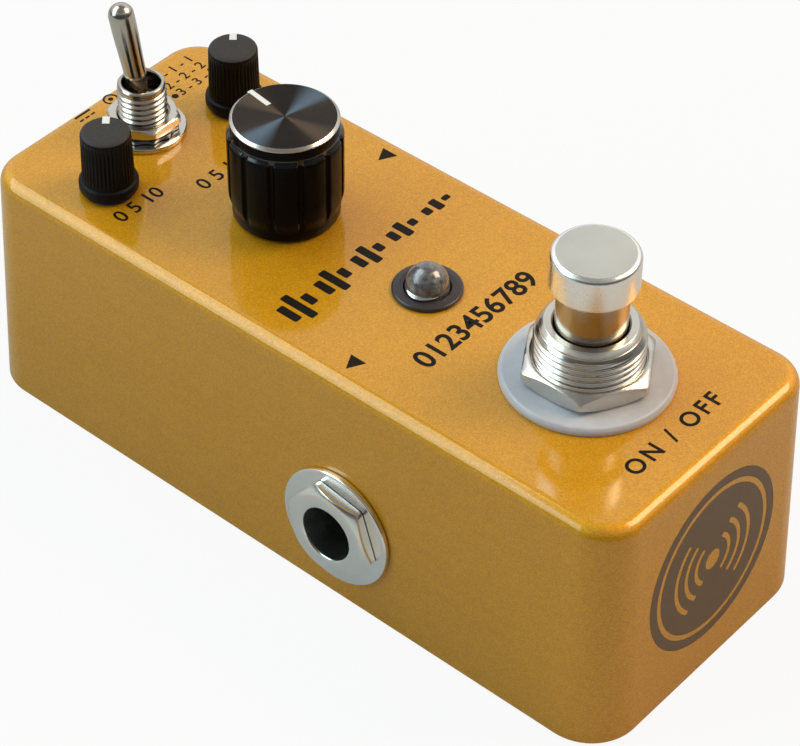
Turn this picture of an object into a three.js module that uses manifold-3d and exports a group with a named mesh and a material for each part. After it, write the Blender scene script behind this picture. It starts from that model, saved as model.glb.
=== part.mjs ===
// A compact delay pedal: a die-cast case with three rotary controls, a three-way toggle switch, a status
// light, a footswitch, two 6.35 mm sockets that face away from each other and a power socket at the rear.
// Millimetres, +Z up. The player stands at -Y, so the footswitch is at -Y and the power socket at +Y. The
// output socket is on -X and the input socket on +X. The origin is on the ground under the case's centre.

import * as THREE from 'three';
import { mergeVertices } from 'three/addons/utils/BufferGeometryUtils.js';
import Module from 'manifold-3d';

const wasm = await Module();
wasm.setup();

// Case, measured at its rim
const caseLength = 93.4;
const caseWidth = 38;
const caseHeight = 30.6;
const caseDraft = 1.4; // how far each wall leans in from the rim to the top
const caseCornerRadius = 4.7; // at the top
const topFillet = 1.6;
const ceilingFillet = 1;
const wallThickness = 2;
const topThickness = 2.2;
const rimLift = 0.5; // the rim stands this far above the ground, on the pad

// Base plate, pad and screws
const plateThickness = 1.2;
const plateRecess = 0.5; // the plate lies this far inside the rim
const plateGap = 0.15;
const rimLip = 1; // what the wall keeps of its thickness beside the plate
const padSideMargin = 4.5;
const padEndMargin = 3;
const padCornerRadius = 3;
const padGrooveWidth = 1.2;
const padGrooveDepth = 0.4;
const padGroovePitch = 5;
const postRadius = 2.9;
const postInset = 5.4; // from the rim's outside to a post's centre
const screwShankRadius = 1.4;
const screwHeadRadius = 2.7;
const screwHeadHeight = 1.1;
const screwLength = 8;
const screwGap = 0.15;
const screwTipChamfer = 0.4;
const crossSpan = 3;
const crossWidth = 0.8;
const crossDepth = 0.7;

// Main board, which hangs under the top wall on the controls
const boardDrop = 6.8; // from the ceiling to the board's upper face
const boardThickness = 1.6;
const boardSideGap = 1.2;
const boardFrontGap = 0.7; // from the footswitch's body
const boardRearInset = 3.7; // from the case's rear end
const boardCornerRadius = 1;
const postClearance = 0.5;
const ceilingGap = 0.3;
const seatGap = 0.1; // between pieces that seat on each other or slide in each other

// Electronics on the main board
const chipInset = 6.2; // from the board's edge to a chip's middle
const delayChipSetback = 18.5; // from the board's front edge to the chip's middle
const delayChipLength = 20;
const audioChipSetback = 14;
const audioChipLength = 9.8;
const chipWidth = 6.4;
const chipHeight = 3.2;
const chipStandoff = 0.4;
const chipNotchRadius = 0.9;
const chipNotchDepth = 0.5;
const legPitch = 2.54;
const legWidth = 0.6;
const capacitorInset = 4.6; // from the board's edge
const capacitorSetback = 28.5; // from the board's front edge
const capacitorRadius = 2.5;
const capacitorHeight = 6;
const capacitorWaist = 0.3;
const capacitorWaistHeight = 1.2;

// Two small controls beside the toggle switch
const smallKnobInset = 8.6; // from the case's side at the rim to a knob's axis
const smallKnobSetback = 4.64; // in front of the toggle switch
const smallPointerDegrees = 48; // clockwise from the rear, seen from above
const smallFlangeRadius = 3.42;
const smallFlangeLift = 0.4;
const smallFlangeHeight = 1.3;
const smallFlangeRound = 0.35;
const smallBodyBottomRadius = 3;
const smallBodyTopRadius = 2.88;
const smallKnobHeight = 8.15; // from the case's top to the knob's top
const smallTopRound = 0.55;
const fluteCount = 40;
const fluteDepth = 0.14;
const fluteTopLift = 7.55; // from the case's top to the flutes' upper end
const smallMarkWidth = 0.85;
const smallMarkLength = 1.45;
const markDepth = 0.65;
const markGap = 0.05;
const smallShaftRadius = 1.9;
const smallShaftFlat = 0.45;
const smallShaftReach = 5.4; // from the case's top to the shaft's end
const smallBossRadius = 2.9;

// Large time control
const timeKnobY = 14.45;
const timePointerDegrees = 8;
const timeKnobRadius = 6.1;
const timeRibRadius = 6.5;
const timeKnobLift = 0.3;
const timeKnobHeight = 12.75; // from the case's top to the underside of the metal disc
const timeBottomRound = 0.25;
const ribCount = 12;
const ribPhaseDegrees = 6; // the ribs against the pointer
const ribGrooveShare = 0.2; // of the rib pitch
const ribLandShare = 0.72;
const ribSlopeLift = 1.4; // where the ribs start to rise from the smooth skirt
const ribLift = 3.1; // where they stand fully proud
const ribTopLift = 11;
const ribEndLift = 11.55;
const hubRadius = 4.3;
const skirtInnerRadius = 5.2;
const skirtDepth = 8;
const discThickness = 0.4;
const discChamfer = 0.3;
const discPlugRadius = 4.6;
const discPlugDepth = 0.8;
const pointerWidth = 0.65;
const pointerInnerRadius = 2.7;
const pointerDepth = 0.25;
const timeShaftRadius = 3;
const timeShaftFlat = 1.5;
const timeShaftReach = 9.6;
const timeBossRadius = 4;

// Bodies of the rotary controls
const smallPotWidth = 7;
const timePotWidth = 9.4;
const potHeight = 6.5;
const potShaftFloor = 1.5; // under the shaft's end
const bossRecess = 0.2; // the boss ends this far below the case's top

// Toggle switch
const toggleInset = 9.96; // from the case's rear end
const toggleLeanDegrees = 12.87;
const togglePivotLift = 3.45; // from the case's top to the lever's pivot
const toggleBodyWidth = 6.9;
const toggleBodyLength = 12.7;
const toggleBodyHeight = 6.5;
const toggleBushingRadius = 2.88;
const toggleBoreRadius = 2.2;
const toggleRimLift = 6.85;
const toggleRimChamfer = 0.33;
const toggleFlangeThickness = 0.25;
const toggleFlangeRadius = 3.4;
const toggleWasherRadius = 4.95;
const toggleWasherThickness = 0.6;
const lockWasherRadius = 3.8;
const lockWasherThickness = 0.6;
const toggleNutFlats = 7.8;
const toggleNutHeight = 1.4;
const toggleNutDegrees = 0;
const leverBallRadius = 2.05;
const leverNeckRadius = 1;
const leverRootRadius = 1.3;
const leverTipRadius = 1.5;
const leverLength = 11.6; // from the pivot to the centre of the rounded tip
const leverNeckLength = 3.9;
const leverTailRadius = 0.8;
const leverTailLength = 4.3;

// Chamfer of the nuts
const nutChamferDegrees = 30;

// Status light
const lightY = -6.2;
const bezelRadius = 4;
const bezelHeight = 0.55;
const bezelEdgeRound = 0.2;
const bezelSleeveRadius = 3.1;
const bezelSleeveDepth = 4.2;
const bezelBoreRadius = 2.6;
const bezelChamfer = 0.35;
const lensRadius = 2.5;
const lensFlangeRadius = 2.9;
const lensFlangeHeight = 1;
const lensTopLift = 3.4;
const leadWidth = 0.5;
const leadSpacing = 2.54;

// Footswitch
const footswitchInset = 19; // from the case's front end
const footswitchOffset = 0.65; // to the right of the case's middle line
const nylonWasherRadius = 9.5;
const nylonWasherThickness = 1;
const nylonWasherRound = 0.3;
const footNutFlats = 13.4;
const footNutHeight = 2.3;
const footNutDegrees = 31.5;
const footBushingRadius = 6;
const footBushingBore = 4;
const footBushingLift = 7.6; // from the case's top to the bushing's rim
const footBushingLength = 11.3;
const footBushingChamfer = 0.8;
const footFlangeRadius = 7.2;
const footFlangeThickness = 0.8;
const footLockWasherRadius = 8;
const footBodyWidth = 17;
const footBodyHeight = 13;
const footBodyChamfer = 1;
const footCavityRadius = 5.4;
const footCavityDepth = 10.4;
const lugRows = 3;
const lugPitch = 5;
const lugLength = 5;
const lugWidth = 2;
const lugThickness = 0.8;
const plungerRadius = 3.87;
const plungerCollarRadius = 4.9;
const plungerCollarHeight = 1.5;
const plungerTravel = 2.5;
const capRadius = 4.77;
const capBottomLift = 12.6; // from the case's top to the cap's lower edge
const capTopLift = 17;
const capRound = 0.7;
const capWall = 1.2;
const capBoreDepth = 2.8;
const springWireRadius = 0.35;
const springRadius = 3.7; // to the middle of the wire
const springTurns = 6;
const footBoardThickness = 1.2;
const footBoardMargin = 0.2; // past the switch's body at the front and sides

// Ribbon cable from the footswitch's board up to the main board
const ribbonWidth = 10;
const ribbonThickness = 0.8;
const ribbonBow = 0.5;
const ribbonRearMargin = 0.8; // from the main board's front edge to the cable's middle
const ribbonBoardMargin = 1;

// Output and input sockets
const outputSpacing = 18.15; // behind the footswitch
const inputY = 11.5;
const socketCentreLift = 11; // above the ground, at the case's outer face
const socketWasherRadius = 7.4;
const socketWasherThickness = 0.6;
const socketNutFlats = 10.8;
const socketNutHeight = 1.4;
const socketFaceRadius = 5.15;
const socketNutDegrees = 21;
const sleeveRadius = 4.8;
const sleeveGrip = 4; // how far the sleeve reaches into the housing
const socketBoreRadius = 3.3;
const socketMouthChamfer = 0.3;
const socketDepth = 24.5; // from the wall's outer face to the end of the bore
const housingLength = 26;
const housingWidth = 13;
const housingHeight = 11.4;
const housingChamfer = 0.8;
const contactWidth = 3.2;
const contactThickness = 0.4;
const contactDip = 0.9; // how far the contact reaches into the bore
const contactSlotLength = 9;
const contactSlotGap = 0.3;

// Power socket
const powerLift = 12.5; // the socket's axis above the ground
const powerBodyWidth = 9;
const powerBodyLength = 13.5;
const powerBodyHeight = 11;
const powerBodyChamfer = 0.5;
const powerBossRadius = 4.6;
const powerFaceRecess = 0.3;
const powerBoreRadius = 3.1;
const powerBoreDepth = 10;
const powerPinRadius = 1.05;
const powerPinRecess = 1;
const powerPinTipRound = 0.3;
const powerTabWidth = 2.4;
const powerTabThickness = 0.5;

// Clearance of every hole in the case's walls round what passes through it
const holeGap = 0.15;
const overrun = 1; // how far a cutting body runs past what it cuts

// Facet counts
const cornerSteps = 5;
const filletSteps = 4;
const roundSides = 24;
const smallSides = 18;
const fineSides = 12;
const arcSteps = 3;
const curlSteps = 8;
const wireSides = 5;
const ribLandSteps = 2;
const ribbonSteps = 8;

// Heights above the ground that follow from the sizes
const caseTop = rimLift + caseHeight;
const ceiling = caseTop - topThickness;
const plateBottom = rimLift + plateRecess;
const plateTop = plateBottom + plateThickness;
const boardTop = ceiling - boardDrop;
const boardBottom = boardTop - boardThickness;
const wallSlope = caseDraft / caseHeight;
const wallAngle = Math.atan(wallSlope);

// Places that follow from the sizes
const toggleY = caseLength / 2 - toggleInset;
const smallKnobX = caseWidth / 2 - smallKnobInset;
const smallKnobY = toggleY - smallKnobSetback;
const footswitchY = footswitchInset - caseLength / 2;
const outputY = footswitchY + outputSpacing;
const boardHalfWidth = caseWidth / 2 - wallSlope * (boardTop - rimLift) - wallThickness - boardSideGap;
const boardFrontY = footswitchY + footBodyWidth / 2 + boardFrontGap;
const boardRearY = caseLength / 2 - boardRearInset;
const chipX = boardHalfWidth - chipInset;
const delayChipY = boardFrontY + delayChipSetback;
const audioChipY = boardFrontY + audioChipSetback;
const capacitorX = boardHalfWidth - capacitorInset;
const capacitorY = boardFrontY + capacitorSetback;

// Finishes, as sRGB colours
const finishes = {
  goldPaint: { color: 0xd79a2e, roughness: 0.38, metalness: 0.35 },
  nickel: { color: 0xc9c6bd, roughness: 0.22, metalness: 1 },
  satinNickel: { color: 0xc4c2ba, roughness: 0.4, metalness: 1 },
  zincSteel: { color: 0xa9adb0, roughness: 0.45, metalness: 1 },
  brass: { color: 0xc9a253, roughness: 0.35, metalness: 1 },
  springSteel: { color: 0x8d8f92, roughness: 0.35, metalness: 1 },
  blackPlastic: { color: 0x17161a, roughness: 0.5, metalness: 0 },
  blackGloss: { color: 0x0f0e11, roughness: 0.2, metalness: 0 },
  blackAluminium: { color: 0x1d1c20, roughness: 0.3, metalness: 1 },
  whiteInlay: { color: 0xf0efec, roughness: 0.5, metalness: 0 },
  whiteNylon: { color: 0xe4e2ea, roughness: 0.4, metalness: 0 },
  smokedResin: { color: 0x3a3a44, roughness: 0.1, metalness: 0 },
  blackRubber: { color: 0x1b1b1c, roughness: 0.85, metalness: 0 },
  plateSteel: { color: 0x2a2a2c, roughness: 0.55, metalness: 0.4 },
  greenBoard: { color: 0x1d5a3a, roughness: 0.5, metalness: 0 },
  brownPhenolic: { color: 0x6e4a2a, roughness: 0.6, metalness: 0 },
  blueSwitch: { color: 0x2455a4, roughness: 0.45, metalness: 0 },
  redSwitch: { color: 0xa3262a, roughness: 0.45, metalness: 0 },
  greyRibbon: { color: 0xa8a9ad, roughness: 0.6, metalness: 0 },
};

// Turns a closed geometry into a solid, with its faces pointing out
function solidOf(geometry) {
  const bare = new THREE.BufferGeometry();
  bare.setAttribute('position', geometry.getAttribute('position'));
  bare.setIndex(geometry.getIndex());
  const merged = mergeVertices(bare);
  const points = merged.getAttribute('position');
  const index = merged.getIndex().array;
  const triangles = [];
  const a = new THREE.Vector3();
  const b = new THREE.Vector3();
  const c = new THREE.Vector3();
  let volume = 0;
  for (let i = 0; i < index.length; i += 3) {
    const [p, q, r] = [index[i], index[i + 1], index[i + 2]];
    if (p !== q && q !== r && r !== p) {
      triangles.push(p, q, r);
      a.fromBufferAttribute(points, p);
      b.fromBufferAttribute(points, q);
      c.fromBufferAttribute(points, r);
      volume += a.dot(b.cross(c));
    }
  }
  if (volume < 0) {
    triangles.reverse();
  }
  const vertProperties = new Float32Array(points.array);
  const triVerts = new Uint32Array(triangles);
  return new wasm.Manifold(new wasm.Mesh({ numProp: 3, vertProperties, triVerts }));
}

// Turns a solid back into a geometry
function geometryOf(solid) {
  const mesh = solid.getMesh();
  const geometry = new THREE.BufferGeometry();
  geometry.setAttribute('position', new THREE.BufferAttribute(mesh.vertProperties, 3));
  geometry.setIndex(new THREE.BufferAttribute(mesh.triVerts, 1));
  geometry.computeVertexNormals();
  return geometry;
}

// A solid moved by a distance along each axis
function moved(solid, x, y, z) {
  return solid.translate([x, y, z]);
}

// A solid of revolution round +Z from [radius, height] points, closed on the axis
function revolve(points, sides) {
  const profile = points.map(([radius, height]) => new THREE.Vector2(radius, height));
  const geometry = new THREE.LatheGeometry(profile, sides);
  geometry.rotateX(Math.PI / 2);
  return solidOf(geometry);
}

// A round bar from one height to another
function bar(radius, bottom, top, sides) {
  return revolve([[0, bottom], [radius, bottom], [radius, top], [0, top]], sides);
}

// A tube from one height to another
function tube(inner, outer, bottom, top, sides) {
  return revolve([[inner, bottom], [outer, bottom], [outer, top], [inner, top], [inner, bottom]], sides);
}

// Points of an arc in a profile, its angles in quarter turns
function arc(centreRadius, centreHeight, radius, from, to, steps) {
  const points = [];
  for (let step = 0; step <= steps; step += 1) {
    const angle = (from + ((to - from) * step) / steps) * (Math.PI / 2);
    points.push([centreRadius + radius * Math.cos(angle), centreHeight + radius * Math.sin(angle)]);
  }
  return points;
}

// A box between two corners
function block(x0, y0, z0, x1, y1, z1) {
  const geometry = new THREE.BoxGeometry(x1 - x0, y1 - y0, z1 - z0);
  geometry.translate((x0 + x1) / 2, (y0 + y1) / 2, (z0 + z1) / 2);
  return solidOf(geometry);
}

// A flat outline raised from one height to another
function prism(shape, bottom, top, curveSegments) {
  const geometry = new THREE.ExtrudeGeometry(shape, {
    depth: top - bottom,
    bevelEnabled: false,
    curveSegments,
  });
  geometry.translate(0, 0, bottom);
  return solidOf(geometry);
}

// A rectangle with cut corners, centred on the axis
function chamferedOutline(width, length, chamfer) {
  const x = width / 2;
  const y = length / 2;
  return new THREE.Shape([
    new THREE.Vector2(x, y - chamfer),
    new THREE.Vector2(x - chamfer, y),
    new THREE.Vector2(chamfer - x, y),
    new THREE.Vector2(-x, y - chamfer),
    new THREE.Vector2(-x, chamfer - y),
    new THREE.Vector2(chamfer - x, -y),
    new THREE.Vector2(x - chamfer, -y),
    new THREE.Vector2(x, chamfer - y),
  ]);
}

// A hexagonal nut with a bore and a chamfer turned at an angle from its round face to its corners
function hexNut(flats, height, faceRadius, chamferDegrees, bore, boreSides, degrees) {
  const corner = flats / 2 / Math.cos(Math.PI / 6);
  const bite = (corner - faceRadius) * Math.tan(THREE.MathUtils.degToRad(chamferDegrees));
  const hexagon = bar(corner, 0, height, 6).rotate([0, 0, degrees]);
  const turned = revolve(
    [[0, 0], [corner, 0], [corner, height - bite], [faceRadius, height], [0, height]],
    roundSides,
  );
  return hexagon.intersect(turned).subtract(bar(bore, -overrun, height + overrun, boreSides));
}

// A ring of points round a rounded rectangle at one height
function roundedRing(halfX, halfY, radius, height) {
  const corners = [[1, 1, 0], [-1, 1, 1], [-1, -1, 2], [1, -1, 3]];
  const ring = [];
  for (const [sideX, sideY, turn] of corners) {
    for (let step = 0; step <= cornerSteps; step += 1) {
      const angle = (turn + step / cornerSteps) * (Math.PI / 2);
      const x = sideX * (halfX - radius) + radius * Math.cos(angle);
      const y = sideY * (halfY - radius) + radius * Math.sin(angle);
      ring.push(new THREE.Vector3(x, y, height));
    }
  }
  return ring;
}

// A closed body through rings with the same number of points, with a flat end at each end
function loft(rings) {
  const count = rings[0].length;
  const positions = [];
  const index = [];
  for (const ring of rings) {
    for (const point of ring) {
      positions.push(point.x, point.y, point.z);
    }
  }
  for (let level = 0; level + 1 < rings.length; level += 1) {
    for (let i = 0; i < count; i += 1) {
      const next = (i + 1) % count;
      const low = level * count;
      const high = low + count;
      index.push(low + i, low + next, high + next);
      index.push(low + i, high + next, high + i);
    }
  }
  for (const [level, flip] of [[0, true], [rings.length - 1, false]]) {
    const centre = new THREE.Vector3();
    for (const point of rings[level]) {
      centre.addScaledVector(point, 1 / count);
    }
    const hub = positions.length / 3;
    positions.push(centre.x, centre.y, centre.z);
    for (let i = 0; i < count; i += 1) {
      const a = level * count + i;
      const b = level * count + ((i + 1) % count);
      index.push(hub, flip ? b : a, flip ? a : b);
    }
  }
  const geometry = new THREE.BufferGeometry();
  geometry.setAttribute('position', new THREE.Float32BufferAttribute(positions, 3));
  geometry.setIndex(index);
  return solidOf(geometry);
}

// The case's outline at a height, drawn in by an inset from its outer face
function caseRing(height, inset) {
  const lean = caseDraft - wallSlope * (height - rimLift);
  const halfX = caseWidth / 2 - caseDraft + lean - inset;
  const halfY = caseLength / 2 - caseDraft + lean - inset;
  return roundedRing(halfX, halfY, caseCornerRadius + lean - inset, height);
}

// Half the case's width or length at a height
function halfSpanAt(span, height) {
  return span / 2 - wallSlope * (height - rimLift);
}

// A shaft with a flat down one side
function flattedShaft(radius, flat, bottom, top) {
  const away = radius + overrun;
  const shaving = block(-away, radius - flat, bottom - overrun, away, away, top + overrun);
  return bar(radius, bottom, top, smallSides).subtract(shaving);
}

const pedal = new THREE.Group();

// Adds a named piece to a group
function add(group, name, solid, finish) {
  const mesh = new THREE.Mesh(geometryOf(solid), new THREE.MeshStandardMaterial(finish));
  mesh.name = name;
  group.add(mesh);
  return mesh;
}

// A group at a place, turned round +Z by degrees
function placed(parent, x, y, z, degrees) {
  const group = new THREE.Group();
  group.position.set(x, y, z);
  group.rotation.z = THREE.MathUtils.degToRad(degrees);
  parent.add(group);
  return group;
}

// A group on a side wall with its +Z out of the wall and its +X up it
function sideFrame(parent, side, y) {
  const group = new THREE.Group();
  const x = side * halfSpanAt(caseWidth, socketCentreLift);
  group.position.set(x, y, socketCentreLift);
  group.rotation.set(0, side * (Math.PI / 2 - wallAngle), side > 0 ? Math.PI : 0);
  parent.add(group);
  group.updateMatrixWorld(true);
  return group;
}

// Screw posts stand in the case's four corners
const postX = caseWidth / 2 - postInset;
const postY = caseLength / 2 - postInset;
const postPlaces = [[-1, -1], [1, -1], [1, 1], [-1, 1]].map(([x, y]) => [x * postX, y * postY]);

// Outer shell of the case: a drafted box with a filleted top, hollowed from below
function caseShell(sockets) {
  const outerRings = [caseRing(rimLift, 0)];
  for (let step = 0; step <= filletSteps; step += 1) {
    const angle = (step / filletSteps) * (Math.PI / 2);
    const height = caseTop - topFillet + topFillet * Math.sin(angle);
    outerRings.push(caseRing(height, topFillet * (1 - Math.cos(angle))));
  }
  const ceilingRound = ceilingFillet * (1 - Math.SQRT1_2);
  const cavity = loft([
    caseRing(rimLift, wallThickness),
    caseRing(ceiling - ceilingFillet, wallThickness),
    caseRing(ceiling - ceilingRound, wallThickness + ceilingRound),
    caseRing(ceiling, wallThickness + ceilingFillet),
  ]);
  const rebate = loft([caseRing(rimLift - overrun, rimLip), caseRing(plateTop, rimLip)]);
  let shell = loft(outerRings).subtract(cavity);
  for (const [x, y] of postPlaces) {
    shell = shell.add(moved(bar(postRadius, plateTop, ceiling + topThickness / 2, smallSides), x, y, 0));
  }
  shell = shell.subtract(rebate);
  const pilotTop = plateBottom + screwLength + screwGap;
  for (const [x, y] of postPlaces) {
    const pilot = bar(screwShankRadius + screwGap, rimLift, pilotTop, fineSides);
    shell = shell.subtract(moved(pilot, x, y, 0));
  }
  const topHoles = [
    [footswitchOffset, footswitchY, footBushingRadius, roundSides],
    [0, lightY, bezelSleeveRadius, smallSides],
    [0, timeKnobY, timeBossRadius, smallSides],
    [-smallKnobX, smallKnobY, smallBossRadius, smallSides],
    [smallKnobX, smallKnobY, smallBossRadius, smallSides],
    [0, toggleY, toggleBushingRadius, smallSides],
  ];
  for (const [x, y, radius, sides] of topHoles) {
    const drill = bar(radius + holeGap, ceiling - overrun, caseTop + overrun, sides);
    shell = shell.subtract(moved(drill, x, y, 0));
  }
  const sideDrill = bar(sleeveRadius + holeGap, -wallThickness - overrun, overrun, roundSides);
  for (const socket of sockets) {
    shell = shell.subtract(sideDrill.transform(socket.matrixWorld.elements));
  }
  const rearOuter = halfSpanAt(caseLength, rimLift);
  const rearDrill = bar(powerBossRadius + holeGap, -rearOuter - overrun, -rearOuter / 2, roundSides);
  return shell.subtract(moved(rearDrill.rotate([90, 0, 0]), 0, 0, powerLift));
}

// Steel base plate in the rim's rebate, countersunk for its screws
function basePlate() {
  const inset = rimLip + plateGap;
  let plate = loft([caseRing(plateBottom, inset), caseRing(plateTop, inset)]);
  const headRadius = screwHeadRadius + screwGap;
  const shankRadius = screwShankRadius + screwGap;
  const sink = revolve(
    [
      [0, plateBottom - overrun],
      [headRadius, plateBottom - overrun],
      [headRadius, plateBottom],
      [shankRadius, plateBottom + screwHeadHeight],
      [shankRadius, plateTop + overrun],
      [0, plateTop + overrun],
    ],
    smallSides,
  );
  for (const [x, y] of postPlaces) {
    plate = plate.subtract(moved(sink, x, y, 0));
  }
  return plate;
}

// Non-slip pad under the base plate, with shallow grooves across it
function basePad() {
  const halfX = caseWidth / 2 - padSideMargin;
  const halfY = postY - screwHeadRadius - padEndMargin;
  let pad = loft([
    roundedRing(halfX, halfY, padCornerRadius, 0),
    roundedRing(halfX, halfY, padCornerRadius, plateBottom),
  ]);
  const halfGroove = padGrooveWidth / 2;
  const away = halfX + overrun;
  const grooves = 2 * Math.floor((halfY - padCornerRadius) / padGroovePitch);
  for (let i = 0; i < grooves; i += 1) {
    const y = (i - (grooves - 1) / 2) * padGroovePitch;
    pad = pad.subtract(block(-away, y - halfGroove, -overrun, away, y + halfGroove, padGrooveDepth));
  }
  return pad;
}

// Countersunk screw with a cross recess, head down
function baseScrew() {
  const tip = plateBottom + screwLength;
  const screw = revolve(
    [
      [0, plateBottom],
      [screwHeadRadius, plateBottom],
      [screwShankRadius, plateBottom + screwHeadHeight],
      [screwShankRadius, tip - screwTipChamfer],
      [screwShankRadius - screwTipChamfer, tip],
      [0, tip],
    ],
    fineSides,
  );
  const span = crossSpan / 2;
  const width = crossWidth / 2;
  const floor = plateBottom + crossDepth;
  const slot = block(-span, -width, plateBottom - overrun, span, width, floor);
  return screw.subtract(slot.add(slot.rotate([0, 0, 90])));
}

// Main board, notched round the rear screw posts
function mainBoard() {
  const notchX = postX - postRadius - postClearance;
  const notchY = postY - postRadius - postClearance;
  const shape = new THREE.Shape();
  shape.moveTo(boardCornerRadius - boardHalfWidth, boardFrontY);
  shape.lineTo(boardHalfWidth - boardCornerRadius, boardFrontY);
  shape.lineTo(boardHalfWidth, boardFrontY + boardCornerRadius);
  shape.lineTo(boardHalfWidth, notchY);
  shape.lineTo(notchX, notchY);
  shape.lineTo(notchX, boardRearY);
  shape.lineTo(-notchX, boardRearY);
  shape.lineTo(-notchX, notchY);
  shape.lineTo(-boardHalfWidth, notchY);
  shape.lineTo(-boardHalfWidth, boardFrontY + boardCornerRadius);
  shape.closePath();
  return prism(shape, boardBottom, boardTop, arcSteps);
}

// Chip in a plastic package with a row of legs down each side
function chip(length) {
  const legs = Math.floor(length / legPitch);
  const bodyBottom = boardTop + chipStandoff;
  const bodyTop = bodyBottom + chipHeight;
  const half = chipWidth / 2;
  let solid = block(-half, -length / 2, bodyBottom, half, length / 2, bodyTop);
  const notch = bar(chipNotchRadius, bodyTop - chipNotchDepth, bodyTop + overrun, fineSides);
  solid = solid.subtract(moved(notch, 0, length / 2, 0));
  const legTop = bodyBottom + chipHeight / 2;
  for (let i = 0; i < legs; i += 1) {
    const y = (i - (legs - 1) / 2) * legPitch;
    for (const side of [-1, 1]) {
      const middle = side * half;
      const halfLeg = legWidth / 2;
      const leg = block(middle - halfLeg, y - halfLeg, boardTop, middle + halfLeg, y + halfLeg, legTop);
      solid = solid.add(leg);
    }
  }
  return solid;
}

// Can-shaped capacitor with a crimped waist
function capacitor() {
  const waist = capacitorRadius - capacitorWaist;
  const waistMiddle = boardTop + capacitorWaistHeight;
  const top = boardTop + capacitorHeight;
  return revolve(
    [
      [0, boardTop],
      [capacitorRadius, boardTop],
      [capacitorRadius, waistMiddle - capacitorWaist],
      [waist, waistMiddle],
      [capacitorRadius, waistMiddle + capacitorWaist],
      [capacitorRadius, top - capacitorWaist],
      [capacitorRadius - capacitorWaist, top],
      [0, top],
    ],
    smallSides,
  );
}

// Body of a rotary control: square at the rear, round at the front, with a boss up through the top wall
function potBody(width, bossRadius, shaftRadius) {
  const half = width / 2;
  const shape = new THREE.Shape();
  shape.moveTo(half, 0);
  shape.lineTo(half, half);
  shape.lineTo(-half, half);
  shape.lineTo(-half, 0);
  shape.absarc(0, 0, half, Math.PI, 2 * Math.PI, false);
  const body = prism(shape, boardTop, boardTop + potHeight, fineSides);
  const boss = bar(bossRadius, boardTop + potHeight - overrun, caseTop - bossRecess, smallSides);
  const well = bar(shaftRadius + seatGap, boardTop + potShaftFloor, caseTop + overrun, smallSides);
  return body.add(boss).subtract(well);
}

// Shaft of a rotary control, in its knob's own frame with 0 at the case's top. It is round up to the knob,
// which stands at a lift of its own, and has a flat inside the knob.
function potShaft(radius, flat, knobLift, reach) {
  const bottom = boardTop + potShaftFloor + seatGap - caseTop;
  const shoulder = knobLift - seatGap;
  const round = bar(radius, bottom, shoulder, smallSides);
  return round.add(flattedShaft(radius, flat, shoulder - overrun, reach));
}

// A ring of flutes at one height
function fluteRing(radius, height, depth) {
  const ring = [];
  for (let i = 0; i < fluteCount * 2; i += 1) {
    const angle = (i / (fluteCount * 2)) * 2 * Math.PI;
    const reach = radius - (i % 2) * depth;
    ring.push(new THREE.Vector3(reach * Math.cos(angle), reach * Math.sin(angle), height));
  }
  return ring;
}

// Small knob before its mark is cut: a flange, a tapered fluted body and a rounded top
function smallKnobBlank() {
  const flangeTop = smallFlangeLift + smallFlangeHeight;
  const flange = revolve(
    [
      [0, smallFlangeLift],
      [smallFlangeRadius, smallFlangeLift],
      [smallFlangeRadius, flangeTop - smallFlangeRound],
      [smallFlangeRadius - smallFlangeRound, flangeTop],
      [0, flangeTop],
    ],
    roundSides,
  );
  const body = loft([
    fluteRing(smallBodyBottomRadius, flangeTop - smallFlangeRound, fluteDepth),
    fluteRing(smallBodyTopRadius, fluteTopLift, fluteDepth),
  ]);
  const crownRadius = smallBodyTopRadius - fluteDepth;
  const crown = revolve(
    [
      [0, flangeTop],
      [crownRadius, flangeTop],
      [crownRadius, smallKnobHeight - smallTopRound],
      [crownRadius - smallTopRound, smallKnobHeight],
      [0, smallKnobHeight],
    ],
    roundSides,
  );
  return flange.add(body).add(crown);
}

// Slot of a pointer mark along +Y, or the mark that fills it when a gap is given
function markBlock(width, inner, outer, floor, top, gap) {
  const half = width / 2 - gap;
  return block(-half, inner + gap, floor + gap, half, outer, top);
}

// Small knob and its white mark
function smallKnob() {
  const blank = smallKnobBlank();
  const inner = smallBodyTopRadius - smallMarkLength;
  const floor = smallKnobHeight - markDepth;
  const outer = smallBodyTopRadius + overrun;
  const top = smallKnobHeight + overrun;
  const slot = markBlock(smallMarkWidth, inner, outer, floor, top, 0);
  const mark = blank.intersect(markBlock(smallMarkWidth, inner, outer, floor, top, markGap));
  const bore = flattedShaft(
    smallShaftRadius + seatGap,
    smallShaftFlat,
    smallFlangeLift - overrun,
    smallShaftReach + seatGap,
  );
  return { knob: blank.subtract(slot).subtract(bore), mark };
}

// A ring round the time knob: its ribs stand out to ribRadius between grooves at the body's radius
function ribRing(ribRadius, height) {
  const ring = [];
  const pitch = (2 * Math.PI) / ribCount;
  const phase = THREE.MathUtils.degToRad(ribPhaseDegrees) + Math.PI / 2;
  for (let rib = 0; rib < ribCount; rib += 1) {
    const start = phase + rib * pitch;
    const grooveEdge = (ribGrooveShare / 2) * pitch;
    for (const side of [-1, 1]) {
      const angle = start + (side * grooveEdge) / 2;
      ring.push(polar(timeKnobRadius, angle, height));
    }
    for (let step = 0; step <= ribLandSteps; step += 1) {
      const share = (1 - ribLandShare) / 2 + (ribLandShare * step) / ribLandSteps;
      ring.push(polar(ribRadius, start + share * pitch, height));
    }
  }
  return ring;
}

// A point at a radius, angle and height
function polar(radius, angle, height) {
  return new THREE.Vector3(radius * Math.cos(angle), radius * Math.sin(angle), height);
}

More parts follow.
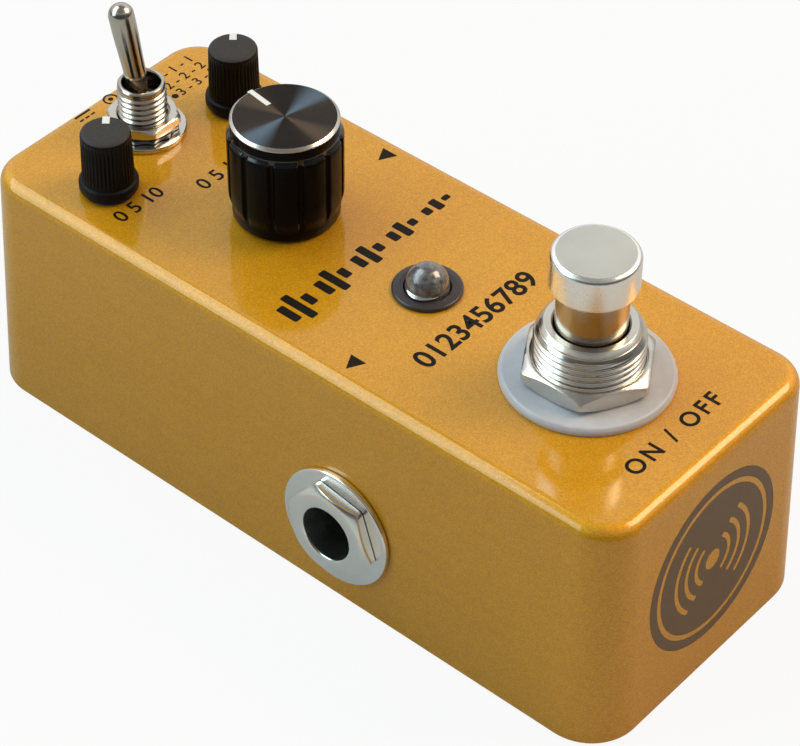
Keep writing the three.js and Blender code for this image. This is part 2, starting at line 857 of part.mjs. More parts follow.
// A plain ring with the same points as ribRing
function plainRing(radius, height) {
  const ring = ribRing(timeKnobRadius, height);
  for (const point of ring) {
    point.x *= radius / timeKnobRadius;
    point.y *= radius / timeKnobRadius;
  }
  return ring;
}

// Moulded body of the time knob, with a hub for the shaft inside its skirt
function timeKnob() {
  const bottom = timeKnobLift;
  const blank = loft([
    plainRing(timeKnobRadius - timeBottomRound, bottom),
    plainRing(timeKnobRadius, bottom + timeBottomRound),
    plainRing(timeKnobRadius, ribSlopeLift),
    ribRing(timeRibRadius, ribLift),
    ribRing(timeRibRadius, ribTopLift),
    plainRing(timeKnobRadius, ribEndLift),
    plainRing(timeKnobRadius, timeKnobHeight),
  ]);
  const skirt = tube(hubRadius, skirtInnerRadius, bottom - overrun, bottom + skirtDepth, roundSides);
  const plugWell = bar(
    discPlugRadius + seatGap,
    timeKnobHeight - discPlugDepth - seatGap,
    timeKnobHeight + overrun,
    roundSides,
  );
  const bore = flattedShaft(
    timeShaftRadius + seatGap,
    timeShaftFlat,
    bottom - overrun,
    timeShaftReach + seatGap,
  );
  return blank.subtract(skirt).subtract(plugWell).subtract(bore);
}

// Metal disc on the time knob, chamfered to a bright rim, and the white pointer let into it
function timeDisc() {
  const top = timeKnobHeight + discThickness;
  const blank = revolve(
    [
      [0, timeKnobHeight - discPlugDepth],
      [discPlugRadius, timeKnobHeight - discPlugDepth],
      [discPlugRadius, timeKnobHeight],
      [timeKnobRadius, timeKnobHeight],
      [timeKnobRadius, top - discChamfer],
      [timeKnobRadius - discChamfer, top],
      [0, top],
    ],
    roundSides,
  );
  const floor = top - pointerDepth;
  const outer = timeKnobRadius + overrun;
  const slot = markBlock(pointerWidth, pointerInnerRadius, outer, floor, top + overrun, 0);
  const filling = markBlock(pointerWidth, pointerInnerRadius, outer, floor, top + overrun, markGap);
  return { disc: blank.subtract(slot), pointer: blank.intersect(filling) };
}

// Toggle switch body, square to the case
function toggleBody() {
  const shape = chamferedOutline(toggleBodyWidth, toggleBodyLength, seatGap);
  return prism(shape, boardTop, boardTop + toggleBodyHeight, arcSteps);
}

// Threaded bushing of the toggle switch, open at its rim
function toggleBushing() {
  const bottom = boardTop + toggleBodyHeight - caseTop;
  const flangeTop = bottom + toggleFlangeThickness;
  return revolve(
    [
      [toggleBoreRadius, bottom],
      [toggleFlangeRadius, bottom],
      [toggleFlangeRadius, flangeTop],
      [toggleBushingRadius, flangeTop],
      [toggleBushingRadius, toggleRimLift - toggleRimChamfer],
      [toggleBushingRadius - toggleRimChamfer, toggleRimLift],
      [toggleBoreRadius, toggleRimLift],
      [toggleBoreRadius, bottom],
    ],
    smallSides,
  );
}

// Bat lever with a ball at its pivot, which is the origin
function toggleLever() {
  const ballTop = Math.sqrt(leverBallRadius ** 2 - leverNeckRadius ** 2);
  const ballBottom = Math.sqrt(leverBallRadius ** 2 - leverTailRadius ** 2);
  const from = -Math.atan2(ballBottom, leverTailRadius) / (Math.PI / 2);
  const to = Math.atan2(ballTop, leverNeckRadius) / (Math.PI / 2);
  return revolve(
    [
      [0, -leverTailLength],
      [leverTailRadius, -leverTailLength],
      ...arc(0, 0, leverBallRadius, from, to, fineSides / 2),
      [leverRootRadius, leverNeckLength],
      ...arc(0, leverLength, leverTipRadius, 0, 1, arcSteps + 1),
    ],
    smallSides,
  );
}

// Black collar of the status light, clipped into the top wall
function lightBezel() {
  return revolve(
    [
      [bezelBoreRadius, -bezelSleeveDepth],
      [bezelSleeveRadius, -bezelSleeveDepth],
      [bezelSleeveRadius, 0],
      [bezelRadius, 0],
      [bezelRadius, bezelHeight - bezelEdgeRound],
      [bezelRadius - bezelEdgeRound, bezelHeight],
      [bezelBoreRadius + bezelChamfer, bezelHeight],
      [bezelBoreRadius, bezelHeight - bezelChamfer],
      [bezelBoreRadius, -bezelSleeveDepth],
    ],
    roundSides,
  );
}

// Light-emitting diode: a domed lens with a flange and two leads down to the board
function lightLens() {
  const flangeTop = -bezelSleeveDepth - seatGap;
  const flangeBottom = flangeTop - lensFlangeHeight;
  const domeCentre = lensTopLift - lensRadius;
  let lens = revolve(
    [
      [0, flangeBottom],
      [lensFlangeRadius, flangeBottom],
      [lensFlangeRadius, flangeTop],
      [lensRadius, flangeTop],
      ...arc(0, domeCentre, lensRadius, 0, 1, arcSteps * 2),
    ],
    smallSides,
  );
  const half = leadWidth / 2;
  for (const side of [-1, 1]) {
    const x = (side * leadSpacing) / 2;
    lens = lens.add(block(x - half, -half, boardTop - caseTop, x + half, half, flangeBottom + half));
  }
  return lens;
}

// Footswitch heights above the ground
const footBodyTop = caseTop + footBushingLift - footBushingLength;
const footBodyBottom = footBodyTop - footBodyHeight;
const footBoardTop = footBodyBottom - lugLength;
const springFloor = footBodyTop - footCavityDepth;
const collarTop = footBodyTop - seatGap;
const collarBottom = collarTop - plungerCollarHeight;

// Switch body with its cavity and the soldering lugs under it
function footswitchBody() {
  const shape = chamferedOutline(footBodyWidth, footBodyWidth, footBodyChamfer);
  const cavity = bar(footCavityRadius, springFloor, footBodyTop + overrun, roundSides);
  let body = prism(shape, footBodyBottom, footBodyTop, arcSteps).subtract(cavity);
  const middle = (lugRows - 1) / 2;
  for (let row = 0; row < lugRows; row += 1) {
    for (let column = 0; column < lugRows; column += 1) {
      const x = (column - middle) * lugPitch;
      const y = (row - middle) * lugPitch;
      const halfX = lugWidth / 2;
      const halfY = lugThickness / 2;
      body = body.add(
        block(x - halfX, y - halfY, footBoardTop, x + halfX, y + halfY, footBodyBottom + lugThickness),
      );
    }
  }
  return body;
}

// Threaded bushing on the switch body, with a plain chamfered rim
function footswitchBushing() {
  const rim = caseTop + footBushingLift;
  const flangeTop = footBodyTop + footFlangeThickness;
  return revolve(
    [
      [footBushingBore, footBodyTop],
      [footFlangeRadius, footBodyTop],
      [footFlangeRadius, flangeTop],
      [footBushingRadius, flangeTop],
      [footBushingRadius, rim - footBushingChamfer],
      [footBushingRadius - footBushingChamfer, rim],
      [footBushingBore, rim],
      [footBushingBore, footBodyTop],
    ],
    roundSides,
  );
}

// White nylon washer that keeps the nut off the paint
function nylonWasher() {
  const inner = footBushingRadius + seatGap;
  const top = caseTop + nylonWasherThickness;
  return revolve(
    [
      [inner, caseTop],
      [nylonWasherRadius, caseTop],
      [nylonWasherRadius, top - nylonWasherRound],
      [nylonWasherRadius - nylonWasherRound, top],
      [inner, top],
      [inner, caseTop],
    ],
    roundSides,
  );
}

// Plunger, with the collar that keeps it in and the spigot that its cap is pressed on
function footswitchPlunger() {
  const capBottom = caseTop + capBottomLift;
  const spigotRadius = capRadius - capWall - seatGap;
  const spigotTop = capBottom + capBoreDepth - seatGap;
  return revolve(
    [
      [0, collarBottom],
      [plungerCollarRadius, collarBottom],
      [plungerCollarRadius, collarTop],
      [plungerRadius, collarTop],
      [plungerRadius, capBottom],
      [spigotRadius, capBottom],
      [spigotRadius, spigotTop],
      [0, spigotTop],
    ],
    roundSides,
  );
}

// Cap of the plunger, with a rolled upper edge
function footswitchCap() {
  const bottom = caseTop + capBottomLift;
  const top = caseTop + capTopLift;
  const boreRadius = capRadius - capWall;
  return revolve(
    [
      [0, bottom + capBoreDepth],
      [boreRadius, bottom + capBoreDepth],
      [boreRadius, bottom],
      [capRadius, bottom],
      ...arc(capRadius - capRound, top - capRound, capRound, 0, 1, arcSteps),
      [0, top],
    ],
    roundSides,
  );
}

// Return spring: one round wire wound from the cavity's floor up to the collar
function returnSpring() {
  const bottom = springFloor + springWireRadius + seatGap;
  const top = collarBottom - springWireRadius - seatGap;
  const steps = springTurns * curlSteps;
  const rise = (top - bottom) / steps;
  const turn = (2 * Math.PI) / curlSteps;
  const tilt = Math.atan(rise / (springRadius * turn));
  const rings = [];
  for (let step = 0; step <= steps; step += 1) {
    const angle = step * turn;
    const centre = polar(springRadius, angle, bottom + rise * step);
    const outward = polar(1, angle, 0);
    const upward = new THREE.Vector3(
      Math.sin(tilt) * Math.sin(angle),
      -Math.sin(tilt) * Math.cos(angle),
      Math.cos(tilt),
    );
    const ring = [];
    for (let side = 0; side < wireSides; side += 1) {
      const around = (side / wireSides) * 2 * Math.PI;
      const point = centre.clone();
      point.addScaledVector(outward, springWireRadius * Math.cos(around));
      point.addScaledVector(upward, springWireRadius * Math.sin(around));
      ring.push(point);
    }
    rings.push(ring);
  }
  let leastGap = Infinity;
  for (let i = 0; i < rings.length; i += 1) {
    for (let j = i + curlSteps - 1; j < rings.length; j += 1) {
      for (const p of rings[i]) {
        for (const q of rings[j]) {
          leastGap = Math.min(leastGap, p.distanceTo(q));
        }
      }
    }
  }
  console.log(`return spring: least gap between turns ${leastGap.toFixed(2)} mm`);
  return loft(rings);
}

// Middle of the ribbon cable, behind the footswitch
const ribbonY = boardFrontY + ribbonRearMargin;

// Small board under the footswitch, long enough at the rear for the ribbon cable
function footswitchBoard() {
  const half = footBodyWidth / 2 + footBoardMargin;
  const left = footswitchOffset - half;
  const right = footswitchOffset + half;
  const rear = ribbonY + ribbonBoardMargin;
  return block(left, footswitchY - half, footBoardTop - footBoardThickness, right, rear, footBoardTop);
}

// Ribbon cable, bowed a little on its way up
function ribbonCable() {
  const middle = (footBoardTop + boardBottom) / 2;
  const path = new THREE.CatmullRomCurve3([
    new THREE.Vector3(0, ribbonY, footBoardTop),
    new THREE.Vector3(0, ribbonY + ribbonBow / 2, (footBoardTop + middle) / 2),
    new THREE.Vector3(0, ribbonY + ribbonBow, middle),
    new THREE.Vector3(0, ribbonY + ribbonBow / 2, (boardBottom + middle) / 2),
    new THREE.Vector3(0, ribbonY, boardBottom),
  ]);
  const rings = [];
  for (let step = 0; step <= ribbonSteps; step += 1) {
    const at = path.getPoint(step / ribbonSteps);
    const ring = [];
    for (const [x, y] of [[-1, -1], [1, -1], [1, 1], [-1, 1]]) {
      ring.push(new THREE.Vector3((x * ribbonWidth) / 2, at.y + (y * ribbonThickness) / 2, at.z));
    }
    rings.push(ring);
  }
  return loft(rings);
}

// Socket housing inside the wall, in the wall's own frame: bored for the plug, slotted for its contact
function socketHousing() {
  const front = -wallThickness - seatGap;
  const back = front - housingLength;
  const shape = chamferedOutline(housingHeight, housingWidth, housingChamfer);
  const bore = bar(socketBoreRadius, -socketDepth, 0, smallSides);
  const counterbore = bar(sleeveRadius + seatGap, front - sleeveGrip - seatGap, 0, smallSides);
  const slotFront = contactSlotLength - socketDepth;
  const halfSlot = contactWidth / 2 + contactSlotGap;
  const slot = block(0, -halfSlot, back - overrun, housingHeight / 2 + overrun, halfSlot, slotFront);
  const ledge = block(0, -halfSlot, back, socketBoreRadius, halfSlot, -socketDepth);
  const box = prism(shape, back, front, arcSteps);
  return box.subtract(bore).subtract(counterbore).subtract(slot.subtract(ledge));
}

// Spring contact for the plug's tip: a bent strip with a soldering tail up to the main board
function socketContact(tailTop) {
  const seat = socketBoreRadius + contactSlotGap;
  const back = -wallThickness - seatGap - housingLength;
  const tailFoot = back + contactSlotGap;
  const dipMiddle = -socketDepth + contactSlotLength / 2;
  const dipHalf = contactSlotLength / 4;
  const lift = contactThickness;
  const shape = new THREE.Shape([
    new THREE.Vector2(tailTop, tailFoot),
    new THREE.Vector2(seat, tailFoot),
    new THREE.Vector2(seat, dipMiddle - dipHalf),
    new THREE.Vector2(socketBoreRadius - contactDip, dipMiddle),
    new THREE.Vector2(seat, dipMiddle + dipHalf),
    new THREE.Vector2(seat + lift, dipMiddle + dipHalf),
    new THREE.Vector2(socketBoreRadius - contactDip + lift, dipMiddle),
    new THREE.Vector2(seat + lift, dipMiddle - dipHalf),
    new THREE.Vector2(seat + lift, tailFoot + lift),
    new THREE.Vector2(tailTop, tailFoot + lift),
  ]);
  const strip = prism(shape, -contactWidth / 2, contactWidth / 2, arcSteps);
  return strip.rotate([90, 0, 0]);
}

// Hexagonal sleeve nut that clamps a socket to the wall and lines its mouth
function socketNut() {
  const seat = socketWasherThickness + 2 * seatGap;
  const face = seat + socketNutHeight;
  const sleeveEnd = -wallThickness - seatGap - sleeveGrip;
  const nut = hexNut(
    socketNutFlats,
    socketNutHeight,
    socketFaceRadius,
    nutChamferDegrees,
    socketBoreRadius,
    smallSides,
    socketNutDegrees,
  );
  const head = moved(nut, 0, 0, seat);
  const sleeve = bar(sleeveRadius, sleeveEnd, seat + socketNutHeight / 2, smallSides);
  const mouth = revolve(
    [
      [0, sleeveEnd - overrun],
      [socketBoreRadius, sleeveEnd - overrun],
      [socketBoreRadius, face - socketMouthChamfer],
      [socketBoreRadius + socketMouthChamfer, face],
      [socketBoreRadius + socketMouthChamfer, face + overrun],
      [0, face + overrun],
    ],
    smallSides,
  );
  return head.add(sleeve).subtract(mouth);
}

// A socket with all its pieces on one side wall
function addSocket(frame, name) {
  add(frame, `${name}_jack_housing`, socketHousing(), finishes.blackPlastic);
  const washer = tube(
    sleeveRadius + seatGap,
    socketWasherRadius,
    seatGap,
    seatGap + socketWasherThickness,
    roundSides,
  );
  add(frame, `${name}_jack_washer`, washer, finishes.nickel);
  add(frame, `${name}_jack_nut`, socketNut(), finishes.nickel);
  const tailSink = (housingLength + wallThickness) * wallSlope;
  const tailTop = boardBottom - socketCentreLift - contactSlotGap - tailSink;
  add(frame, `${name}_jack_contact`, socketContact(tailTop), finishes.springSteel);
}

// Power socket: a box behind the rear wall, a round mouth in the wall and tabs up to the main board
const powerFaceY = halfSpanAt(caseLength, powerLift) - powerFaceRecess;
const powerBodyFrontY = halfSpanAt(caseLength, powerLift + powerBossRadius) - wallThickness - ceilingGap;

function powerBody() {
  const length = powerBodyLength;
  const outline = chamferedOutline(powerBodyWidth, powerBodyHeight, powerBodyChamfer);
  const back = powerBodyFrontY - length;
  const box = prism(outline, back, powerBodyFrontY, arcSteps);
  const boss = bar(powerBossRadius, powerBodyFrontY - overrun, powerFaceY, roundSides);
  const bore = bar(powerBoreRadius, powerFaceY - powerBoreDepth, powerFaceY + overrun, smallSides);
  let body = box.add(boss).subtract(bore).rotate([-90, 0, 0]);
  body = moved(body, 0, 0, powerLift);
  const halfTab = powerTabWidth / 2;
  for (const y of [back + powerTabThickness, back + length / 2]) {
    const roof = powerLift + powerBodyHeight / 2 - powerTabThickness;
    body = body.add(block(-halfTab, y, roof, halfTab, y + powerTabThickness, boardBottom));
  }
  return body;
}

// Centre pin of the power socket
function powerPin() {
  const root = powerFaceY - powerBoreDepth + seatGap;
  const tip = powerFaceY - powerPinRecess;
  const pin = revolve(
    [
      [0, root],
      [powerPinRadius, root],
      [powerPinRadius, tip - powerPinTipRound],
      [powerPinRadius - powerPinTipRound, tip],
      [0, tip],
    ],
    fineSides,
  );
  return moved(pin.rotate([-90, 0, 0]), 0, 0, powerLift);
}

// Case and base
const outputFrame = sideFrame(pedal, -1, outputY);
const inputFrame = sideFrame(pedal, 1, inputY);
add(pedal, 'case_shell', caseShell([outputFrame, inputFrame]), finishes.goldPaint);
add(pedal, 'base_plate', basePlate(), finishes.plateSteel);
add(pedal, 'base_pad', basePad(), finishes.blackRubber);
postPlaces.forEach(([x, y], i) => {
  const corner = placed(pedal, x, y, 0, 0);
  add(corner, `base_screw_${i + 1}`, baseScrew(), finishes.zincSteel);
});

// Boards and what is soldered to them
add(pedal, 'main_board', mainBoard(), finishes.greenBoard);
add(placed(pedal, -chipX, delayChipY, 0, 0), 'delay_chip', chip(delayChipLength), finishes.blackPlastic);
add(placed(pedal, chipX, audioChipY, 0, 0), 'audio_chip', chip(audioChipLength), finishes.blackPlastic);
add(placed(pedal, capacitorX, capacitorY, 0, 0), 'power_capacitor', capacitor(), finishes.zincSteel);
add(pedal, 'footswitch_board', footswitchBoard(), finishes.brownPhenolic);
add(pedal, 'ribbon_cable', ribbonCable(), finishes.greyRibbon);

// Small rotary controls
for (const [name, side] of [['level', -1], ['feedback', 1]]) {
  const x = side * smallKnobX;
  const body = potBody(smallPotWidth, smallBossRadius, smallShaftRadius);
  add(placed(pedal, x, smallKnobY, 0, 0), `${name}_pot_body`, body, finishes.blueSwitch);
  const turning = placed(pedal, x, smallKnobY, caseTop, -smallPointerDegrees);
  const shaft = potShaft(smallShaftRadius, smallShaftFlat, smallFlangeLift, smallShaftReach);
  add(turning, `${name}_pot_shaft`, shaft, finishes.nickel);
  const { knob, mark } = smallKnob();
  add(turning, `${name}_knob`, knob, finishes.blackPlastic);
  add(turning, `${name}_knob_mark`, mark, finishes.whiteInlay);
}

// Time control
add(
  placed(pedal, 0, timeKnobY, 0, 0),
  'time_pot_body',
  potBody(timePotWidth, timeBossRadius, timeShaftRadius),
  finishes.blueSwitch,
);
const timeTurning = placed(pedal, 0, timeKnobY, caseTop, -timePointerDegrees);
const timeShaft = potShaft(timeShaftRadius, timeShaftFlat, timeKnobLift, timeShaftReach);
const { disc, pointer } = timeDisc();
add(timeTurning, 'time_pot_shaft', timeShaft, finishes.brass);
add(timeTurning, 'time_knob', timeKnob(), finishes.blackGloss);
add(timeTurning, 'time_knob_disc', disc, finishes.blackAluminium);
add(timeTurning, 'time_knob_pointer', pointer, finishes.whiteInlay);

// Toggle switch
const toggleFrame = placed(pedal, 0, toggleY, caseTop, 0);
const nutSeat = toggleWasherThickness + lockWasherThickness;
const toggleHole = toggleBushingRadius + seatGap;
add(placed(pedal, 0, toggleY, 0, 0), 'toggle_body', toggleBody(), finishes.redSwitch);
add(toggleFrame, 'toggle_bushing', toggleBushing(), finishes.nickel);
add(
  toggleFrame,
  'toggle_flat_washer',
  tube(toggleHole, toggleWasherRadius, 0, toggleWasherThickness, roundSides),
  finishes.nickel,
);
add(
  toggleFrame,
  'toggle_lock_washer',
  tube(toggleHole, lockWasherRadius, toggleWasherThickness, nutSeat, smallSides),
  finishes.springSteel,
);
add(
  toggleFrame,
  'toggle_nut',
  moved(
    hexNut(
      toggleNutFlats,
      toggleNutHeight,
      toggleNutFlats / 2,
      nutChamferDegrees,
      toggleHole,
      smallSides,
      toggleNutDegrees,
    ),
    0,
    0,
    nutSeat,
  ),
  finishes.nickel,
);
const leverFrame = placed(toggleFrame, 0, 0, togglePivotLift, 0);
leverFrame.rotation.x = -THREE.MathUtils.degToRad(toggleLeanDegrees);
add(leverFrame, 'toggle_lever', toggleLever(), finishes.nickel);

// Status light
const lightFrame = placed(pedal, 0, lightY, caseTop, 0);
add(lightFrame, 'light_bezel', lightBezel(), finishes.blackPlastic);
add(lightFrame, 'light_lens', lightLens(), finishes.smokedResin);

// Footswitch
const footFrame = placed(pedal, footswitchOffset, footswitchY, 0, 0);
const flangeTop = footBodyTop + footFlangeThickness;
const footHole = footBushingRadius + seatGap;
add(footFrame, 'footswitch_body', footswitchBody(), finishes.blueSwitch);
add(footFrame, 'footswitch_bushing', footswitchBushing(), finishes.nickel);
add(
  footFrame,
  'footswitch_lock_washer',
  tube(footHole, footLockWasherRadius, flangeTop, ceiling, roundSides),
  finishes.springSteel,
);
add(footFrame, 'footswitch_nylon_washer', nylonWasher(), finishes.whiteNylon);
const footNut = hexNut(
  footNutFlats,
  footNutHeight,
  footNutFlats / 2,
  nutChamferDegrees,
  footHole,
  roundSides,
  footNutDegrees,
);
add(footFrame, 'footswitch_nut', moved(footNut, 0, 0, caseTop + nylonWasherThickness), finishes.nickel);
add(footFrame, 'footswitch_plunger', footswitchPlunger(), finishes.nickel);
add(footFrame, 'footswitch_cap', footswitchCap(), finishes.satinNickel);
add(footFrame, 'footswitch_spring', returnSpring(), finishes.springSteel);

// Sockets
addSocket(outputFrame, 'output');
addSocket(inputFrame, 'input');
add(pedal, 'power_jack_body', powerBody(), finishes.blackPlastic);
add(pedal, 'power_jack_pin', powerPin(), finishes.nickel);

export default pedal;
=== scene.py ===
import math

import bmesh
import bpy
import numpy as np
from mathutils import Matrix, Vector


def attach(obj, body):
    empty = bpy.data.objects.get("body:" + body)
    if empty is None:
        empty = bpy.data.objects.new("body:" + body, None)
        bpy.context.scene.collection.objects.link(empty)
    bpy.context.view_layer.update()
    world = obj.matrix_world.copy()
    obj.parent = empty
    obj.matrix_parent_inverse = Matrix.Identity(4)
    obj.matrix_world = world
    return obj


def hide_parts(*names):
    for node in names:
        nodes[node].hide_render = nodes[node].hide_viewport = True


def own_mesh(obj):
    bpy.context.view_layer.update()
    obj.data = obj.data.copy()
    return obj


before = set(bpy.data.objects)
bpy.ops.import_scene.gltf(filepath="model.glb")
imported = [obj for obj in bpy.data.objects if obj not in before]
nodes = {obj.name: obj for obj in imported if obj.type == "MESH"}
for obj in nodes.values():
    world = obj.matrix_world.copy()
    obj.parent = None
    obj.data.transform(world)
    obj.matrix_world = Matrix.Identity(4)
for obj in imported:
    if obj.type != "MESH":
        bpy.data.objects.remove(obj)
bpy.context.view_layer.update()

MM = 0.001
TAU = 2 * math.pi
QUARTER = math.pi / 2

# Driving sizes and places in millimetres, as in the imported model. CORNER is a corner's radius at the rim,
# and TAPER is how far each wall leans in between the rim and the top.
TOP = 31.1
RIM = 0.5
HALF_WIDTH = 19
HALF_LENGTH = 46.7
CORNER = 6.1
TAPER = 1.4
LEAN = math.atan(TAPER / (TOP - RIM))
SIN_LEAN = math.sin(LEAN)
COS_LEAN = math.cos(LEAN)
FOOT_X = 0.65
FOOT_Y = -27.7
LIGHT_Y = -6.2
TIME_Y = 14.45
KNOB_X = 10.4
KNOB_Y = 32.1
TOGGLE_Y = 36.74
RIBBON_Y = -17.7
SOCKET_LIFT = 11
OUTPUT_Y = -9.55
INPUT_Y = 11.5
POWER_LIFT = 12.5
POWER_FACE = 45.85
BADGE_LIFT = 16.2

# Holes in the top, each with its x, y and radius, and the radii of those in the walls
TOP_HOLES = ((FOOT_X, FOOT_Y, 6.15), (0, LIGHT_Y, 3.25), (0, TIME_Y, 4.15), (-KNOB_X, KNOB_Y, 3.05),
             (KNOB_X, KNOB_Y, 3.05), (0, TOGGLE_Y, 3.15))
SOCKET_HOLE = 4.95
POWER_HOLE = 4.75

# Degrees that the pointers of the large knob and of the small ones are turned from the rear at rest
TIME_TURN = -8
SMALL_TURN = -48

# Radius at which a turned body closes on its axis
AXIS = 0.01


# Frames and outlines
def shift(x=0, y=0, z=0, turn=0):
    """Frame moved to a place and turned by degrees round +Z."""
    return Matrix.Translation((x, y, z)) @ Matrix.Rotation(math.radians(turn), 4, "Z")


def axes_frame(axes, place):
    """Frame with the three axes given, at a place."""
    m = Matrix.Identity(4)
    for i, axis in enumerate(axes):
        m[0][i], m[1][i], m[2][i] = axis
    m.translation = place
    return m


def socket_frame(side, y):
    """Frame on a side wall: +Z out of the wall, +X up it."""
    x = side * (HALF_WIDTH - math.tan(LEAN) * (SOCKET_LIFT - RIM))
    up = Vector((-side * SIN_LEAN, 0, COS_LEAN))
    out = Vector((side * COS_LEAN, 0, SIN_LEAN))
    return axes_frame((up, out.cross(up), out), (x, y, SOCKET_LIFT))


def rear_frame(y):
    """Frame at the power socket's height whose +Z points to the rear."""
    return Matrix(((1, 0, 0, 0), (0, 0, 1, y), (0, -1, 0, POWER_LIFT), (0, 0, 0, 1)))


def step(low, high, value):
    """A smooth rise from 0 at low to 1 at high."""
    t = np.clip((np.asarray(value, float) - low) / (high - low), 0, 1)
    return t * t * (3 - 2 * t)


def arc(x, y, radius, start, end, count):
    """Points on a circle round x, y from one angle to another."""
    return [(x + radius * math.cos(a), y + radius * math.sin(a)) for a in np.linspace(start, end, count)]


def rounded(x, y, half_x, half_y, radius, steps):
    """Outline of a rectangle round x, y with round corners."""
    loop = []
    for quarter, (side_x, side_y) in enumerate(((1, 1), (-1, 1), (-1, -1), (1, -1))):
        loop += arc(x + side_x * (half_x - radius), y + side_y * (half_y - radius), radius,
                    quarter * QUARTER, (quarter + 1) * QUARTER, steps + 1)
    return loop


def soft(points, closed=False, steps=4):
    """A profile whose corners are rounded by each point's third number."""
    most_share = 0.49
    out = []
    count = len(points)
    for i, p in enumerate(points):
        radius = p[2] if len(p) > 2 else 0
        here = np.array(p[:2], float)
        if radius == 0 or (not closed and i in (0, count - 1)):
            out.append(tuple(here))
            continue
        a = np.array(points[i - 1][:2], float) - here
        b = np.array(points[(i + 1) % count][:2], float) - here
        length_a, length_b = np.linalg.norm(a), np.linalg.norm(b)
        a, b = a / length_a, b / length_b
        half = math.acos(max(-1, min(1, float(a @ b)))) / 2
        reach = min(radius / math.tan(half), most_share * length_a, most_share * length_b)
        radius = reach * math.tan(half)
        middle = a + b
        middle = here + middle / np.linalg.norm(middle) * radius / math.sin(half)
        start, end = here + a * reach - middle, here + b * reach - middle
        first, last = math.atan2(start[1], start[0]), math.atan2(end[1], end[0])
        while last - first > math.pi:
            last -= TAU
        while last - first < -math.pi:
            last += TAU
        out += arc(*middle, radius, first, last, steps + 1)
    return out


# Mesh making. Points are in millimetres in a piece's own frame, and are stored in metres in the part's.
def weigh_normals(obj, weight):
    """Let the large faces lead the shading across soft edges."""
    normals = obj.modifiers.new("normals", "WEIGHTED_NORMAL")
    normals.keep_sharp = True
    normals.weight = weight


def piece(name, points, faces, materials, body, where=None, sharp=32, smooth=True, pick=None):
    """One object from points in millimetres. pick(face centres) is true where the second material goes."""
    points = np.asarray(points, float)
    if pick is not None:
        picks = pick(np.array([points[list(f)].mean(0) for f in faces]))
    if where is not None:
        m = np.array(where)
        points = points @ m[:3, :3].T + m[:3, 3]
    mesh = bpy.data.meshes.new(name)
    mesh.from_pydata((points * MM).tolist(), [], [tuple(int(i) for i in f) for f in faces])
    if not isinstance(materials, (list, tuple)):
        materials = [materials]
    for m in materials:
        mesh.materials.append(m)
    if pick is not None:
        mesh.polygons.foreach_set("material_index", np.asarray(picks, dtype=np.int32))
    mesh.polygons.foreach_set("use_smooth", np.full(len(mesh.polygons), smooth))
    mesh.update()
    if smooth:
        mesh.set_sharp_from_angle(angle=math.radians(sharp))
    obj = bpy.data.objects.new(name, mesh)
    bpy.context.scene.collection.objects.link(obj)
    if smooth:
        weigh_normals(obj, 60)
    if body:
        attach(obj, body)
    return obj


def grid(rows, closed=False):
    """Points and faces of a skin over rows of points, with flat ends unless it closes on itself."""
    rows = np.asarray(rows, float)
    m, n, _ = rows.shape
    faces = []
    for j in range(m if closed else m - 1):
        a, b = j * n, ((j + 1) % m) * n
        for i in range(n):
            k = (i + 1) % n
            faces.append((a + i, a + k, b + k, b + i))
    if not closed:
        faces.append(tuple(range(n - 1, -1, -1)))
        faces.append(tuple(range((m - 1) * n, m * n)))
    return rows.reshape(-1, 3), faces


def turned(profile, sides=96, closed=False):
    """A body round +Z from (radius, height) rows. Either may be an array with one value for each side."""
    angle = np.arange(sides) * TAU / sides
    rows = []
    for radius, height in profile:
        r = np.broadcast_to(np.asarray(radius, float), sides)
        z = np.broadcast_to(np.asarray(height, float), sides)
        rows.append(np.stack([r * np.cos(angle), r * np.sin(angle), z], axis=1))
    return grid(rows, closed)


def solid(name, rows, material, body, where, replaces, sides=96, closed=False, sharp=32, pick=None):
    """A turned piece that takes the place of the model's own."""
    points, faces = turned(rows, sides, closed)
    obj = piece(name, points, faces, material, body, where, sharp=sharp, pick=pick)
    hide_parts(*replaces)


def helix(radius, wire, bottom, top, turns):
    """A coil of round wire."""
    rows_a_turn, sides = 28, 12
    rows = []
    count = turns * rows_a_turn
    rise = (top - bottom) / (TAU * turns * radius)
    for j in range(count + 1):
        a = TAU * turns * j / count
        z = bottom + (top - bottom) * j / count
        out = np.array([math.cos(a), math.sin(a), 0])
        up = np.array([rise * math.sin(a), -rise * math.cos(a), 1]) / math.hypot(1, rise)
        centre = radius * out + np.array([0, 0, z])
        rows.append([centre + wire * (math.cos(t) * out + math.sin(t) * up)
                     for t in np.arange(sides) * TAU / sides])
    return grid(rows)


def bar(low, high, edge):
    """Points and faces of a block between two corners, with rounded edges."""
    bm = bmesh.new()
    bmesh.ops.create_cube(bm, size=1)
    for v in bm.verts:
        v.co = [(a + b) / 2 + share * (b - a) for a, b, share in zip(low, high, v.co)]
    bmesh.ops.bevel(bm, geom=list(bm.edges), offset=edge, segments=3, affect="EDGES", profile=0.5)
    bm.verts.ensure_lookup_table()
    points = [tuple(v.co) for v in bm.verts]
    faces = [[v.index for v in f.verts] for f in bm.faces]
    bm.free()
    return points, faces


def hexagon(flats, sides, degrees=0, worn=0.12):
    """Radius of a hexagon round the circle, with slightly worn corners."""
    sixth = TAU / 6
    angle = np.arange(sides) * TAU / sides - math.radians(degrees)
    within = np.mod(angle + sixth / 2, sixth) - sixth / 2
    corner = flats / 2 / math.cos(sixth / 2)
    return np.minimum(flats / 2 / np.cos(sixth / 2 - np.abs(within)), corner - worn)


NUT_SIDES = 192


